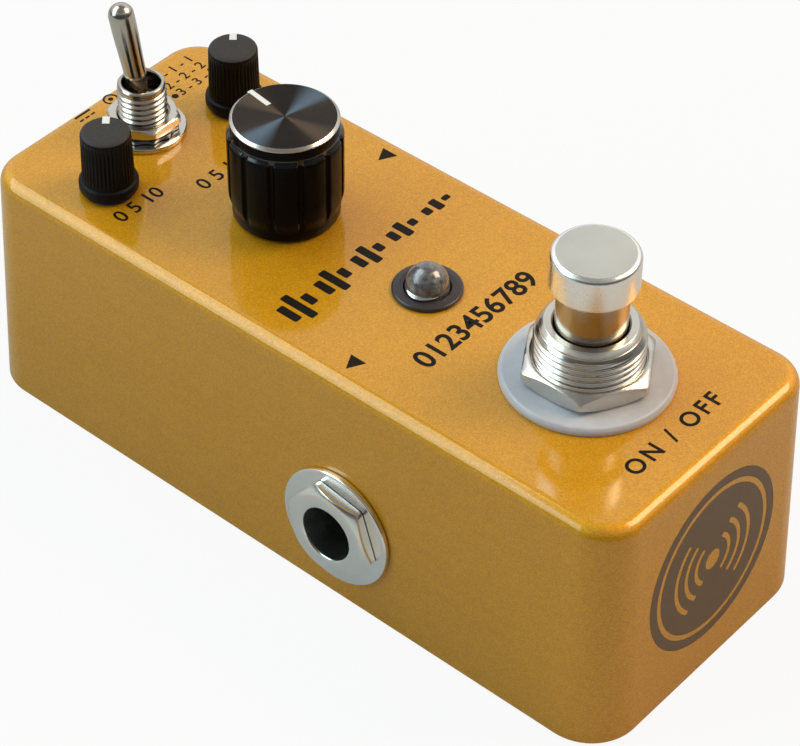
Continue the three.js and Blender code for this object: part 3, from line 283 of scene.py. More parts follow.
def nut_rows(flats, bottom, top, face, bore, degrees=0):
    """Rows of a hexagonal nut: corners chamfered outside the round face, and a plain bore."""
    chamfer, under_slope, under, lead, top_lead = math.radians(30), 0.6, 0.25, 0.2, 0.25
    edge_drop, edge_worn, face_worn = 0.04, 0.03, 0.12
    r = hexagon(flats, NUT_SIDES, degrees)
    base = flats / 2 - under
    high = top - np.maximum(r - face, 0) * math.tan(chamfer)
    low = bottom + np.maximum(r - base, 0) * under_slope
    inner = np.minimum(r, face)
    return [(bore, bottom + lead), (bore + lead, bottom), (np.minimum(r, base), bottom), (r, low),
            (r, high - edge_drop), (r - edge_worn, high), (inner, top), (inner - face_worn, top),
            (bore + top_lead, top), (bore, top - top_lead)]


def thread(major, depth, pitch, bottom, top, fade=0.5, lead=0.0):
    """Rows of a rolled thread. It fades out over fade at both ends and narrows by lead at the top."""
    sides, rows_a_pitch, crest, least, sunk_share, lead_slope = 96, 12, 0.8, 0.02, 0.35, 0.75
    angle = np.arange(sides) * TAU / sides
    rows = []
    count = int((top - bottom) / pitch * rows_a_pitch)
    for j in range(count + 1):
        z = bottom + (top - bottom) * j / count
        valley = (0.5 - 0.5 * np.cos(TAU * (z / pitch - angle / TAU))) ** crest
        ends = min(1, (z - bottom) / fade + least, (top - z) / fade + least)
        radius = major - depth * valley * ends - depth * sunk_share * (1 - ends)
        if lead:
            radius = np.minimum(radius, major - lead + lead_slope * (top - z))
        rows.append((radius, z))
    return rows


# Nodes of materials, floor and world
def node(tree, kind, inputs=None, **settings):
    """A new node. Each of its inputs, by name or number, is linked to a socket or set to a value."""
    made = tree.nodes.new(kind)
    for key, value in settings.items():
        setattr(made, key, value)
    for key, value in (inputs or {}).items():
        if isinstance(value, bpy.types.NodeSocket):
            tree.links.new(value, made.inputs[key])
        else:
            made.inputs[key].default_value = value
    return made


def calculate(tree, operation, *values):
    """A math node's result. A third value is joined to the result of the first two."""
    result = node(tree, "ShaderNodeMath", dict(enumerate(values[:2])), operation=operation).outputs[0]
    for value in values[2:]:
        result = calculate(tree, operation, result, value)
    return result


def map_range(tree, value, start, end, low, high, way="LINEAR"):
    inputs = {"Value": value, "From Min": start, "From Max": end, "To Min": low, "To Max": high}
    return node(tree, "ShaderNodeMapRange", inputs, interpolation_type=way).outputs[0]


def empty_tree(owner):
    owner.use_nodes = True
    owner.node_tree.nodes.clear()
    return owner.node_tree


class Finish:
    """A node material round one Principled shader, with the mesh's own coordinates in metres."""

    def __init__(self, name, **settings):
        self.material = bpy.data.materials.new(name)
        self.tree = empty_tree(self.material)
        self.shader = self.node("ShaderNodeBsdfPrincipled")
        self.node("ShaderNodeOutputMaterial", {"Surface": self.shader.outputs[0]})
        self.coords = self.node("ShaderNodeTexCoord").outputs["Object"]
        for key, value in settings.items():
            self.shader.inputs[key.replace("_", " ").title().replace("Ior", "IOR")].default_value = value

    def node(self, kind, inputs=None, **settings):
        return node(self.tree, kind, inputs, **settings)

    def math(self, operation, *values):
        return calculate(self.tree, operation, *values)

    def map(self, value, start, end, low, high, way="LINEAR"):
        return map_range(self.tree, value, start, end, low, high, way)

    def noise(self, scale, detail, rough):
        inputs = {"Vector": self.coords, "Scale": scale, "Detail": detail, "Roughness": rough}
        return self.node("ShaderNodeTexNoise", inputs).outputs["Fac"]

    def blend(self, first, share, second, rest):
        """Two values added in the shares given."""
        return self.math("ADD", self.math("MULTIPLY", first, share), self.math("MULTIPLY", second, rest))

    def ramp(self, value, *stops):
        made = self.node("ShaderNodeValToRGB", {"Fac": value})
        band = made.color_ramp
        while len(band.elements) < len(stops):
            band.elements.new(0.5)
        for element, (place, colour) in zip(band.elements, stops):
            element.position = place
            element.color = (*colour, 1)
        return made.outputs["Color"]

    def bump(self, height, strength, distance, below=None):
        inputs = {"Height": height, "Strength": strength, "Distance": distance}
        if below is not None:
            inputs["Normal"] = below
        return self.node("ShaderNodeBump", inputs).outputs["Normal"]

    def set(self, name, socket):
        self.tree.links.new(socket, self.shader.inputs[name])


def gold_paint():
    f = Finish("gold_flake_paint", metallic=0.75, coat_weight=0.75, coat_roughness=0.09, coat_ior=1.6)
    cells = f.node("ShaderNodeTexVoronoi", {"Vector": f.coords, "Scale": 8600}).outputs["Color"]
    flake = f.node("ShaderNodeSeparateColor", {"Color": cells}).outputs
    f.set("Base Color", f.ramp(
        f.blend(flake["Red"], 0.8, f.noise(260, 3, 0.55), 0.2),
        (0.0, (0.53, 0.245, 0.0015)), (0.5, (0.66, 0.310, 0.0020)), (1.0, (0.80, 0.385, 0.005))))
    f.set("Roughness", f.map(flake["Green"], 0, 1, 0.60, 0.70))
    ripple = f.noise(420, 2, 0.5)
    f.set("Normal", f.bump(ripple, 0.1, 0.00005, f.bump(flake["Blue"], 0.22, 0.00002)))
    f.set("Coat Normal", f.bump(ripple, 0.08, 0.00005))
    return f.material


def raw_cast():
    f = Finish("raw_casting", metallic=0.85)
    grain = f.noise(700, 5, 0.65)
    f.set("Base Color", f.ramp(grain, (0.2, (0.30, 0.30, 0.31)), (0.8, (0.47, 0.47, 0.48))))
    f.set("Roughness", f.map(grain, 0, 1, 0.42, 0.66))
    f.set("Normal", f.bump(grain, 0.4, 0.0001))
    return f.material


def metal(name, dark, light, low, high, scale=1500, bump=0.05):
    """Plated or polished metal: slow tint changes, fine scratches in its gloss and faint waviness."""
    wear = 0.25
    f = Finish(name, metallic=1.0)
    slow = f.noise(140, 3, 0.5)
    fine = f.noise(scale, 5, 0.7)
    scratches = f.math("MULTIPLY", fine, f.map(slow, 0.3, 0.7, 1 - wear, 1 + wear))
    f.set("Base Color", f.ramp(slow, (0.3, dark), (0.7, light)))
    f.set("Roughness", f.map(scratches, 0.2, 0.8, low, high))
    f.set("Normal", f.bump(fine, bump, 0.00003))
    return f.material


def plastic(name, dark, light, low, high, scale=2600, bump=0.12, depth=0.00003, **settings):
    """Moulded plastic: fine grain in its colour, gloss and surface."""
    f = Finish(name, **settings)
    grain = f.noise(scale, 4, 0.6)
    slow = f.noise(180, 2, 0.5)
    f.set("Base Color", f.ramp(f.blend(grain, 0.6, slow, 0.4), (0.3, dark), (0.7, light)))
    f.set("Roughness", f.map(slow, 0.3, 0.7, low, high))
    f.set("Normal", f.bump(grain, bump, depth))
    return f.material


def spun_disc():
    """Dark anodised metal turned in rings, with a painted sheen in its colour: cool across the knob, fainter
    and warm along it.
    """
    f = Finish("spun_black_aluminium", metallic=1.0, anisotropic=0.94, anisotropic_rotation=0.25)
    centred = f.node("ShaderNodeMapping", {"Vector": f.coords, "Location": (0, -TIME_Y * MM, 0)}).outputs[0]
    waves = {"Vector": centred, "Scale": 2600.0, "Distortion": 0.6, "Detail": 2.0}
    rings = f.node("ShaderNodeTexWave", waves, wave_type="RINGS", rings_direction="Z").outputs["Fac"]
    painted_wedge_turn = (0, 0, math.radians(-4.5))
    aligned = f.node("ShaderNodeMapping", {"Vector": centred, "Rotation": painted_wedge_turn}).outputs[0]
    level = f.node("ShaderNodeVectorMath", {0: aligned, 1: (1, 1, 0)}, operation="MULTIPLY").outputs[0]
    way = f.node("ShaderNodeVectorMath", {0: level}, operation="NORMALIZE").outputs[0]
    sides = f.node("ShaderNodeSeparateXYZ", {"Vector": way}).outputs
    base = f.ramp(rings, (0.1, (0.030, 0.024, 0.019)), (0.9, (0.052, 0.042, 0.034)))
    # Painted sheen: wedges of lighter colour, cool along X and warm along Y, are mixed into the base colour
    for side, start, end, most, colour in (("Y", 0.93, 1.0, 0.6, (0.105, 0.082, 0.060)),
                                           ("X", 0.91, 0.998, 0.95, (0.100, 0.120, 0.142))):
        painted_sheen = f.map(f.math("ABSOLUTE", sides[side]), start, end, 0, most, "SMOOTHSTEP")
        mixed = f.node("ShaderNodeMix", {"Factor": painted_sheen, 6: base, 7: (*colour, 1)}, data_type="RGBA")
        base = mixed.outputs[2]
    f.set("Base Color", base)
    f.set("Roughness", f.map(f.noise(3200, 3, 0.6), 0.2, 0.8, 0.30, 0.42))
    f.set("Normal", f.bump(rings, 0.10, 0.00002))
    f.set("Tangent", f.node("ShaderNodeTangent", direction_type="RADIAL", axis="Z").outputs[0])
    return f.material


def resin():
    """Smoked resin over the lamp's reflector: glossy, with cloudy depth."""
    f = Finish("smoked_resin", metallic=0.3, ior=1.5, coat_weight=0.8, coat_roughness=0.12)
    cloud = f.noise(1500, 3, 0.6)
    f.set("Base Color", f.ramp(cloud, (0.3, (0.055, 0.05, 0.05)), (0.75, (0.27, 0.25, 0.24))))
    f.set("Roughness", f.map(cloud, 0.3, 0.7, 0.16, 0.30))
    f.set("Normal", f.bump(f.noise(1300, 2, 0.5), 0.35, 0.0001))
    f.set("Coat Normal", f.bump(f.noise(1400, 2, 0.6), 0.3, 0.00008))
    return f.material


def ink(name, dark, light, dark_place, low, high, scale, detail, shine):
    """Printing ink with a fine grain."""
    f = Finish(name, metallic=0.0, specular_ior_level=shine)
    grain = f.noise(scale, detail, 0.7)
    f.set("Base Color", f.ramp(grain, (dark_place, dark), (0.75, light)))
    f.set("Roughness", f.map(grain, 0.2, 0.8, low, high))
    f.set("Normal", f.bump(grain, 0.15, 0.00002))
    return f.material


paint = gold_paint()
cast = raw_cast()
nickel = metal("polished_nickel", (0.44, 0.40, 0.335), (0.56, 0.52, 0.455), 0.14, 0.26)
bright = metal("bright_nickel", (0.53, 0.50, 0.445), (0.65, 0.62, 0.565), 0.16, 0.28, bump=0.06)
foot_nickel = metal("bushing_nickel", (0.56, 0.53, 0.465), (0.68, 0.65, 0.585), 0.14, 0.26)
# The plunger's rod: a darker, browner copy of the nickel, with painted shade and a painted reflection of the
# gold paint
shaded_rod_nickel = metal("plunger_nickel_painted_shade", (0.34, 0.29, 0.23), (0.44, 0.39, 0.33), 0.14, 0.26)
socket_nickel = metal("socket_nickel", (0.78, 0.765, 0.71), (0.88, 0.865, 0.815), 0.14, 0.26, bump=0.06)
# The button cap: a lighter copy of the nickel, with painted light in its colour
cap_nickel_painted_light = metal("cap_nickel_painted_light", (0.87, 0.845, 0.79), (0.93, 0.905, 0.855), 0.2, 0.3, bump=0.04)
satin = metal("satin_nickel", (0.545, 0.54, 0.50), (0.61, 0.605, 0.565), 0.42, 0.55, scale=3800, bump=0.12)
steel = metal("spring_steel", (0.16, 0.16, 0.165), (0.27, 0.27, 0.28), 0.25, 0.42, bump=0.08)
zinc = metal("zinc_plate", (0.36, 0.37, 0.38), (0.5, 0.51, 0.52), 0.3, 0.48, scale=900, bump=0.12)
brass = metal("turned_brass", (0.50, 0.31, 0.08), (0.63, 0.42, 0.13), 0.22, 0.38)
gloss_black = plastic("gloss_black_plastic", (0.002, 0.0018, 0.0018), (0.004, 0.0036, 0.0036), 0.26, 0.36,
                      bump=0.05, specular_ior_level=0.06)
satin_black = plastic("satin_black_plastic", (0.0022, 0.0018, 0.0016), (0.005, 0.0042, 0.0038), 0.44, 0.58,
                      bump=0.25, specular_ior_level=0.16)
# The small knobs' tops: grained, and lighter in colour than the black sides, which is painted light on the
# tops
grained_painted_light_black = plastic("black_plastic_grained_with_painted_light", (0.024, 0.020, 0.018), (0.050, 0.043, 0.038), 0.55, 0.7,
                        scale=4200, bump=0.5, specular_ior_level=0.3)
knob_edge = plastic("polished_knob_edge", (0.003, 0.0028, 0.0028), (0.006, 0.0055, 0.0055), 0.18, 0.28,
                    bump=0.05, specular_ior_level=0.6)
collar_black = plastic("black_collar_plastic", (0.022, 0.016, 0.016), (0.040, 0.030, 0.030), 0.26, 0.38,
                       bump=0.06)
housing_black = plastic("moulded_black_nylon", (0.011, 0.011, 0.012), (0.024, 0.024, 0.025), 0.42, 0.6,
                        bump=0.2)
white = plastic("white_inlay", (0.72, 0.71, 0.69), (0.84, 0.835, 0.82), 0.36, 0.5, bump=0.1)
nylon = plastic("white_nylon", (0.50, 0.49, 0.51), (0.57, 0.56, 0.58), 0.3, 0.44, scale=900, bump=0.1,
                subsurface_weight=0.25, subsurface_scale=0.0015)
rubber = plastic("black_rubber", (0.010, 0.010, 0.010), (0.022, 0.022, 0.022), 0.72, 0.9, scale=1800,
                 bump=0.5, depth=0.00008)
plate_paint = plastic("black_plate_paint", (0.016, 0.016, 0.017), (0.03, 0.03, 0.032), 0.4, 0.56, scale=1500,
                      bump=0.3)
board_green = plastic("solder_mask", (0.010, 0.075, 0.030), (0.02, 0.12, 0.05), 0.28, 0.4, scale=700,
                      bump=0.15)
phenolic = plastic("brown_phenolic", (0.11, 0.048, 0.014), (0.19, 0.09, 0.03), 0.45, 0.62, scale=600,
                   bump=0.2)
switch_blue = plastic("switch_blue", (0.012, 0.065, 0.29), (0.022, 0.10, 0.41), 0.34, 0.5)
switch_red = plastic("switch_red", (0.27, 0.012, 0.016), (0.40, 0.022, 0.028), 0.34, 0.5)
ribbon_grey = plastic("ribbon_grey", (0.33, 0.33, 0.35), (0.43, 0.43, 0.45), 0.45, 0.62)
disc_black = spun_disc()
lens_resin = resin()
black_ink = ink("printing_ink", (0.006, 0.004, 0.003), (0.018, 0.013, 0.008), dark_place=0.35, low=0.38,
                high=0.6, scale=5200, detail=3, shine=0.12)
badge_ink = ink("badge_ink", (0.098, 0.058, 0.029), (0.160, 0.097, 0.050), dark_place=0.3, low=0.34,
                high=0.5, scale=3600, detail=4, shine=0.35)


# Case: a drafted shell through rounded rings, with its holes cut
def case_ring(height, inset):
    """The case's outline at a height, moved inwards by inset."""
    inwards = math.tan(LEAN) * (height - RIM) + inset
    loop = rounded(0, 0, HALF_WIDTH - inwards, HALF_LENGTH - inwards, CORNER - inwards, 20)
    return [(x, y, height) for x, y in loop]


def case_shell():
    ledge, rim_width, wall, ceiling, fillet, inner_fillet, sharp = 2.2, 1.0, 2.0, 28.9, 1.6, 1.0, 38
    rim_edge = ((0.02, rim_width), (0, 0.92), (0, 0.16), (0.04, 0.05), (0.16, 0))
    outer = [case_ring(ledge, rim_width)]
    outer += [case_ring(RIM + above, inset) for above, inset in rim_edge]
    outer += [case_ring(z, 0) for z in (8, 15, 22, TOP - fillet - 0.6)]
    outer += [case_ring(TOP - fillet + fillet * math.sin(a), fillet * (1 - math.cos(a)))
              for a in np.linspace(0, QUARTER, 11)]
    inner = [case_ring(ledge, wall)]
    inner += [case_ring(ceiling - inner_fillet + inner_fillet * math.sin(a),
                        wall + inner_fillet * (1 - math.cos(a))) for a in np.linspace(0, QUARTER, 7)]
    points, faces = grid(inner[::-1] + outer)
    raw_faces = len(inner) * len(inner[0])

    def unpainted(centres):
        number = np.arange(len(centres))
        return (number < raw_faces) | (number == len(centres) - 2)

    shell = piece("case_body", points, faces, [paint, cast], "case", sharp=sharp, pick=unpainted)
    shell.modifiers.clear()
    drill = case_drill()
    cut = shell.modifiers.new("holes", "BOOLEAN")
    cut.operation = "DIFFERENCE"
    cut.solver = "EXACT"
    cut.object = drill
    done = bpy.data.meshes.new_from_object(shell.evaluated_get(bpy.context.evaluated_depsgraph_get()))
    shell.modifiers.clear()
    shell.data = done
    bpy.data.objects.remove(drill)
    done.polygons.foreach_set("use_smooth", np.full(len(done.polygons), True))
    done.set_sharp_from_angle(angle=math.radians(sharp))
    weigh_normals(shell, 80)
    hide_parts("case_shell")


def case_drill():
    """One cylinder for each hole, which reaches as far in as out from its place in the wall."""
    top_middle, top_reach, socket_reach, rear_middle, rear_reach, sides = 30, 3.2, 4, 45.0, 5, 72
    cutters = [(shift(x, y, top_middle), radius, top_reach) for x, y, radius in TOP_HOLES]
    for side, y in ((-1, OUTPUT_Y), (1, INPUT_Y)):
        cutters.append((socket_frame(side, y), SOCKET_HOLE, socket_reach))
    cutters.append((rear_frame(rear_middle), POWER_HOLE, rear_reach))
    points, faces = [], []
    for where, radius, reach in cutters:
        p, f = turned([(radius, -reach), (radius, reach)], sides)
        p = p @ np.array(where)[:3, :3].T + np.array(where)[:3, 3]
        base = len(points)
        points += p.tolist()
        faces += [tuple(i + base for i in face) for face in f]
    return piece("case_drill", points, faces, [paint], None, smooth=False)


# Footswitch, with heights above the case's top
FOOT = shift(FOOT_X, FOOT_Y, TOP)


def foot_washer():
    bore, radius, high = 6.1, 9.5, 1.0
    rows = soft([(bore, 0), (radius - 0.04, 0, 0.1), (radius, high / 2, 0.5),
                 (radius - 0.3, high - 0.02, 0.4), (bore, high, 0.1)], closed=True)
    solid("nylon_ring", rows, nylon, "case", FOOT, ["footswitch_nylon_washer"], 128, True)


def foot_nut():
    rows = nut_rows(flats=13.4, bottom=1.0, top=3.3, face=6.5, bore=6.02, degrees=31.5)
    solid("foot_hexagon_nut", rows, bright, "case", FOOT, ["footswitch_nut"], NUT_SIDES, True)


def foot_bushing():
    bore, major, flange = 4.0, 6.0, 7.2
    low, seat, thread_low, thread_high, end = -3.7, -2.9, 0.5, 6.9, 7.6
    rows = [(bore, low), (flange, low), (flange, seat - 0.05), (flange - 0.2, seat), (major, seat),
            (major - 0.05, thread_low - 0.1)]
    rows += thread(major, depth=0.36, pitch=0.8, bottom=thread_low, top=thread_high, lead=0.6)
    rows += soft([(major - 0.7, thread_high + 0.05), (major - 0.58, thread_high + 0.13, 0.05),
                  (major - 0.6, end - 0.44, 0.08), (bore + 0.95, end, 0.14), (bore + 0.2, end, 0.1),
                  (bore, end - 0.2, 0.06), (bore, thread_high - 0.4)])
    solid("foot_threaded_bushing", rows, foot_nickel, "case", FOOT, ["footswitch_bushing"], closed=True,
          sharp=60)


def foot_plunger():
    collar, rod, neck = 4.9, 3.87, 3.4
    low, stop, shoulder, end = -5.3, -3.8, 12.62, 15.2
    rows = soft([(AXIS, low), (collar, low, 0.1), (collar, stop, 0.1), (rod, stop), (rod, shoulder),
                 (neck, shoulder), (neck, end, 0.1), (AXIS, end)])
    solid("foot_plunger_rod", rows, shaded_rod_nickel, "footswitch", FOOT, ["footswitch_plunger"], 128)


def foot_cap():
    well, radius = 3.57, 4.77
    skirt, well_top, end = 12.6, 15.4, 17.0
    rows = soft([(AXIS, well_top), (well, well_top), (well, skirt, 0.1), (radius, skirt, 0.4),
                 (radius, end, 0.7), (AXIS, end)], steps=10)
    solid("foot_button_cap", rows, [cap_nickel_painted_light, satin], "footswitch", FOOT, ["footswitch_cap"], 128,
          pick=lambda centres: centres[:, 2] > end - 0.01)


def foot_spring():
    """The return spring at rest, with heights above the ground. It stays with the case; the real one gets
    shorter as the plunger goes down.
    """
    points, faces = helix(radius=3.7, wire=0.35, bottom=17.45, top=25.35, turns=6)
    spring = piece("foot_return_spring", points, faces, steel, "case", shift(FOOT_X, FOOT_Y, 0))
    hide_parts("footswitch_spring")
    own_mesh(spring)


# Status light, with heights above the case's top
LAMP = shift(0, LIGHT_Y, TOP)


def lamp_collar():
    bore, stem, flange = 2.6, 3.1, 3.95
    low, high = -4.2, 0.5
    rows = soft([(bore, low), (stem, low), (stem, 0), (flange, 0, 0.06), (flange, high, 0.26),
                 (stem + 0.1, high + 0.06, 0.2), (bore + 0.06, high, 0.08), (bore, high - 0.2)],
                closed=True, steps=6)
    solid("lamp_collar", rows, collar_black, "case", LAMP, ["light_bezel"], closed=True)


def lamp_dome():
    """The lens, with a bright lip that is widest towards the output socket."""
    sides, dome, stem, flange = 64, 2.42, 2.5, 2.9
    low, ledge, stem_high, lip_low, lip_middle, lip_half, dome_low = -5.3, -4.3, 0.4, 0.5, 0.72, 0.14, 0.9
    narrow, gain, widest_at, spread = 0.04, 0.4, 194, 64
    lip = narrow + gain * step(spread, 0, np.abs(np.arange(sides) * 360 / sides - widest_at))
    rows = [(AXIS, low), (flange, low), (flange, ledge), (stem, ledge), (stem, stem_high)]
    rows += [(dome + lip * math.sin(a), lip_middle - lip_half * math.cos(a))
             for a in np.linspace(0.1, math.pi - 0.1, 8)]
    rows += arc(0, dome_low, dome, 0, QUARTER - 0.004, 18)

    def on_lip(centres):
        x, y, z = centres.T
        return (z > lip_low) & (z < dome_low - 0.01) & (np.hypot(x, y) > dome + 0.05)

    solid("lamp_dome", rows, [lens_resin, bright], "case", LAMP, ["light_lens"], sides, sharp=50,
          pick=on_lip)


# Time control, with heights above the case's top
TIME = shift(0, TIME_Y, TOP, TIME_TURN)


def time_knob():
    """Twelve wide ribs with narrow grooves between them, on a plain core with a hollow below."""
    sides, core, rib = 360, 6.1, 0.4
    groove_step, first_groove, groove_half, land_start = 30, 6, 1.2, 4.4
    rib_low, rib_full, rib_fade, rib_high = 1.3, 3.3, 10.8, 11.6
    bottom, end, hollow, well, shaft_wall, bore = 0.3, 12.74, 5.2, 4.72, 4.3, 3.1
    crown = 0.06
    half_step = groove_step / 2
    turn = np.arange(sides) * 360 / sides - first_groove
    to_groove = np.abs(np.mod(turn + half_step, groove_step) - half_step)
    ribs = rib * step(groove_half, land_start, to_groove)
    ribs = ribs * (1 - crown + crown * step(0, half_step, to_groove))
    rows = [(hollow, bottom + 0.25), (hollow, bottom + 0.05), (hollow + 0.15, bottom), (core - 0.2, bottom),
            (core - 0.06, bottom + 0.06), (core, bottom + 0.2), (core, rib_low + 0.05)]
    rows += [(core + ribs * step(rib_low, rib_full, z), z) for z in np.linspace(1.5, 3.1, 7)]
    rows += [(core + ribs, z) for z in (5, 7, 9, 10.4, 10.85)]
    rows += [(core + ribs * (1 - step(rib_fade, rib_high, z)), z) for z in np.linspace(10.95, 11.5, 6)]
    rows += [(core, rib_high + 0.05), (core, end - 0.19), (core - 0.04, end - 0.06), (core - 0.15, end),
             (well, end), (well, 11.95), (bore, 11.9), (bore, 9.8), (bore, 0.8), (shaft_wall - 0.1, 0.45),
             (shaft_wall, 0.8), (shaft_wall, 8.2), (hollow, 8.2)]

    def on_shoulder(centres):
        z = centres[:, 2]
        return (z > rib_fade + 0.1) & (z < rib_high + 0.02)

    solid("time_ribbed_body", rows, [gloss_black, knob_edge], "time_control", TIME, ["time_knob"], sides,
          True, sharp=40, pick=on_shoulder)


def time_disc():
    stem, radius, bright_from = 4.6, 6.1, 5.6
    low, under, end = 11.96, 12.75, 13.15
    rows = soft([(AXIS, low), (stem, low), (stem, under), (radius, under, 0.05),
                 (radius, under + 0.15, 0.05), (radius - 0.32, end, 0.05), (AXIS, end - 0.02)], steps=3)
    solid("time_spun_disc", rows, [disc_black, bright], "time_control", TIME, ["time_knob_disc"], 144,
          pick=lambda centres: np.hypot(centres[:, 0], centres[:, 1]) > bright_from)


def time_pointer():
    half_width, inner_end, outer_end, low, high = 0.325, 2.7, 6.06, 12.86, 13.17
    points, faces = bar((-half_width, inner_end, low), (half_width, outer_end, high), edge=0.05)
    pointer = piece("time_white_pointer", points, faces, white, "time_control", TIME)
    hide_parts("time_knob_pointer")


# Two small controls, with heights above the case's top
def small_knob(name, side):
    where = shift(side * KNOB_X, KNOB_Y, TOP, SMALL_TURN)
    sides, flutes, flute_depth, axis = 320, 40, 0.15, 0.02
    flute_low, flute_full, flute_fade, flute_high = 1.8, 2.2, 7.42, 7.62
    flange, flange_top, radius, narrowing, low, high, grained_painted_top_low = 3.42, 1.3, 3.0, 0.12, 1.7, 7.6, 7.9
    wave = (0.5 + 0.5 * np.cos(flutes * np.arange(sides) * TAU / sides)) ** 1.4
    rows = [(axis, 0.9), (1.9, 0.9), (2.0, 0.42), (flange - 0.22, 0.4), (flange - 0.06, 0.46),
            (flange, 0.58), (flange, flange_top), (flange - 0.06, flange_top + 0.22),
            (flange - 0.22, flange_top + 0.36), (flange - 0.4, low + 0.02)]
    for z in np.linspace(low + 0.15, high, 10):
        depth = flute_depth * step(flute_low, flute_full, z) * (1 - step(flute_fade, flute_high, z))
        rows.append((radius - narrowing * (z - low) / (high - low) - depth * wave, z))
    rows += [(2.88, 7.64), (2.86, 7.76), (2.79, 7.92), (2.65, 8.05), (2.47, 8.13), (2.28, 8.15),
             (1.2, 8.11), (axis, 8.1)]
    # Faces above this height get the grained plastic, whose lighter colour is painted light on the tops
    solid(f"{name}_fluted_body", rows, [satin_black, grained_painted_light_black], f"{name}_control", where,
          [f"{name}_knob"], sides, sharp=45, pick=lambda centres: centres[:, 2] > grained_painted_top_low)
    half_width, edge, drop, inner_end, mark_top = 0.42, 0.06, 0.03, 1.33, 8.17
    profile = soft([(inner_end, high), (2.84, high), (2.89, high + 0.2, 0.1), (2.62, mark_top, 0.3),
                    (inner_end, mark_top, 0.04)], closed=True)
    rows = [[(x, y, z) for y, z in profile]
            for x in (-half_width, edge - half_width, half_width - edge, half_width)]
    points, faces = grid(rows)
    points[:len(profile), 2] -= drop
    points[-len(profile):, 2] -= drop
    mark = piece(f"{name}_white_mark", points, faces, white, f"{name}_control", where)
    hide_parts(f"{name}_knob_mark")


# Toggle switch, with heights above the case's top
TOGGLE = shift(0, TOGGLE_Y, TOP)
LEVER_LIFT = 3.45
LEVER_TILT = -12.87


def toggle_washers():
    bore, radius, high = 3.1, 4.95, 0.6
    rows = soft([(bore, 0.02), (radius, 0.02, 0.1), (radius, high, 0.14), (bore, high, 0.1)], closed=True)
    solid("toggle_bright_washer", rows, bright, "case", TOGGLE, ["toggle_flat_washer"], closed=True)
    sides, tooth_count, root, tooth = 144, 12, 3.8, 0.35
    teeth = root + tooth * (0.5 + 0.5 * np.cos(tooth_count * np.arange(sides) * TAU / sides)) ** 2
    rows = [(bore, high + 0.04), (teeth, high + 0.12), (teeth, 1.05), (bore, 1.18)]
    solid("toggle_toothed_washer", rows, steel, "case", TOGGLE, ["toggle_lock_washer"], sides, True)


def toggle_nut():
    rows = nut_rows(flats=7.8, bottom=1.2, top=2.6, face=3.8, bore=2.9)
    solid("toggle_hexagon_nut", rows, bright, "case", TOGGLE, ["toggle_nut"], NUT_SIDES, True)


def toggle_bushing():
    bore, major, flange = 2.2, 2.88, 3.4
    low, seat, thread_low, thread_high, end = -2.45, -2.2, 0.4, 6.35, 6.85
    rows = [(bore, low), (flange, low), (flange, seat - 0.02), (major, seat),
            (major - 0.02, thread_low - 0.2)]
    rows += thread(major, depth=0.32, pitch=0.735, bottom=thread_low, top=thread_high, fade=0.35)
    rows += soft([(major - 0.18, thread_high), (major - 0.1, thread_high + 0.1, 0.05),
                  (major - 0.1, end - 0.23, 0.1), (bore + 0.4, end, 0.1), (bore + 0.14, end, 0.08),
                  (bore, end - 0.2, 0.08), (bore, 5.5)])
    solid("toggle_threaded_bushing", rows, nickel, "case", TOGGLE, ["toggle_bushing"], closed=True,
          sharp=60)


def toggle_lever():
    """The bat lever with its ball, with heights above the ball's centre."""
    ball, tail, tip, tip_lift = 2.05, 0.8, 1.5, 11.6
    neck, bat, bat_gain, bat_low, bat_full, bat_high = 1.06, 1.29, 0.2, 3.9, 10.6, 11.1
    where = shift(0, TOGGLE_Y, TOP + LEVER_LIFT) @ Matrix.Rotation(math.radians(LEVER_TILT), 4, "X")
    rows = [(AXIS, -4.3), (tail - 0.1, -4.3), (tail, -4.2), (tail, -2.0)]
    rows += arc(0, 0, ball, -1.17, 1.06, 20)
    rows += [(neck, 2.2), (neck + 0.12, 3.1)]
    rows += [(bat + bat_gain * step(bat_low, bat_full, z), z) for z in np.linspace(bat_low, bat_high, 12)]
    rows += arc(0, tip_lift, tip, 0, QUARTER - 0.01, 16)
    solid("toggle_bat_lever", rows, nickel, "toggle", where, ["toggle_lever"], 64, sharp=45)


# Sockets, with heights out from the wall
def socket(name, side, y):
    where = socket_frame(side, y)
    hole, washer, washer_top = 4.95, 7.4, 0.72
    rows = soft([(hole, 0.05), (washer, 0.05, 0.12), (washer, washer_top, 0.2), (hole, washer_top, 0.1)],
                closed=True)
    solid(f"{name}_socket_washer", rows, socket_nickel, "case", where, [f"{name}_jack_washer"], 128, True)
    bore, sleeve, face, inner_end, seat, top = 3.3, 4.8, 5.15, -6.1, 0.76, 2.2
    chamfer = 0.577
    r = hexagon(flats=10.8, sides=NUT_SIDES, degrees=21, worn=0.1)
    cone = top - np.maximum(r - face, 0) * chamfer
    rows = [(bore, inner_end), (sleeve, inner_end), (sleeve, seat), (sleeve + 0.2, seat),
            (np.minimum(r, face + 0.15), seat), (r - 0.02, seat + 0.04), (r, seat + 0.1)]
    rows += [(r, cone - 0.07), (r - 0.015, cone - 0.02), (r - 0.06, cone + 0.01)]
    rows += [(face, top - 0.02), (face - 0.1, top), (bore + 0.36, top + 0.01), (bore + 0.18, top - 0.03),
             (bore + 0.06, top - 0.14), (bore, top - 0.4)]
    solid(f"{name}_socket_nut", rows, socket_nickel, "case", where, [f"{name}_jack_nut"], NUT_SIDES, True)


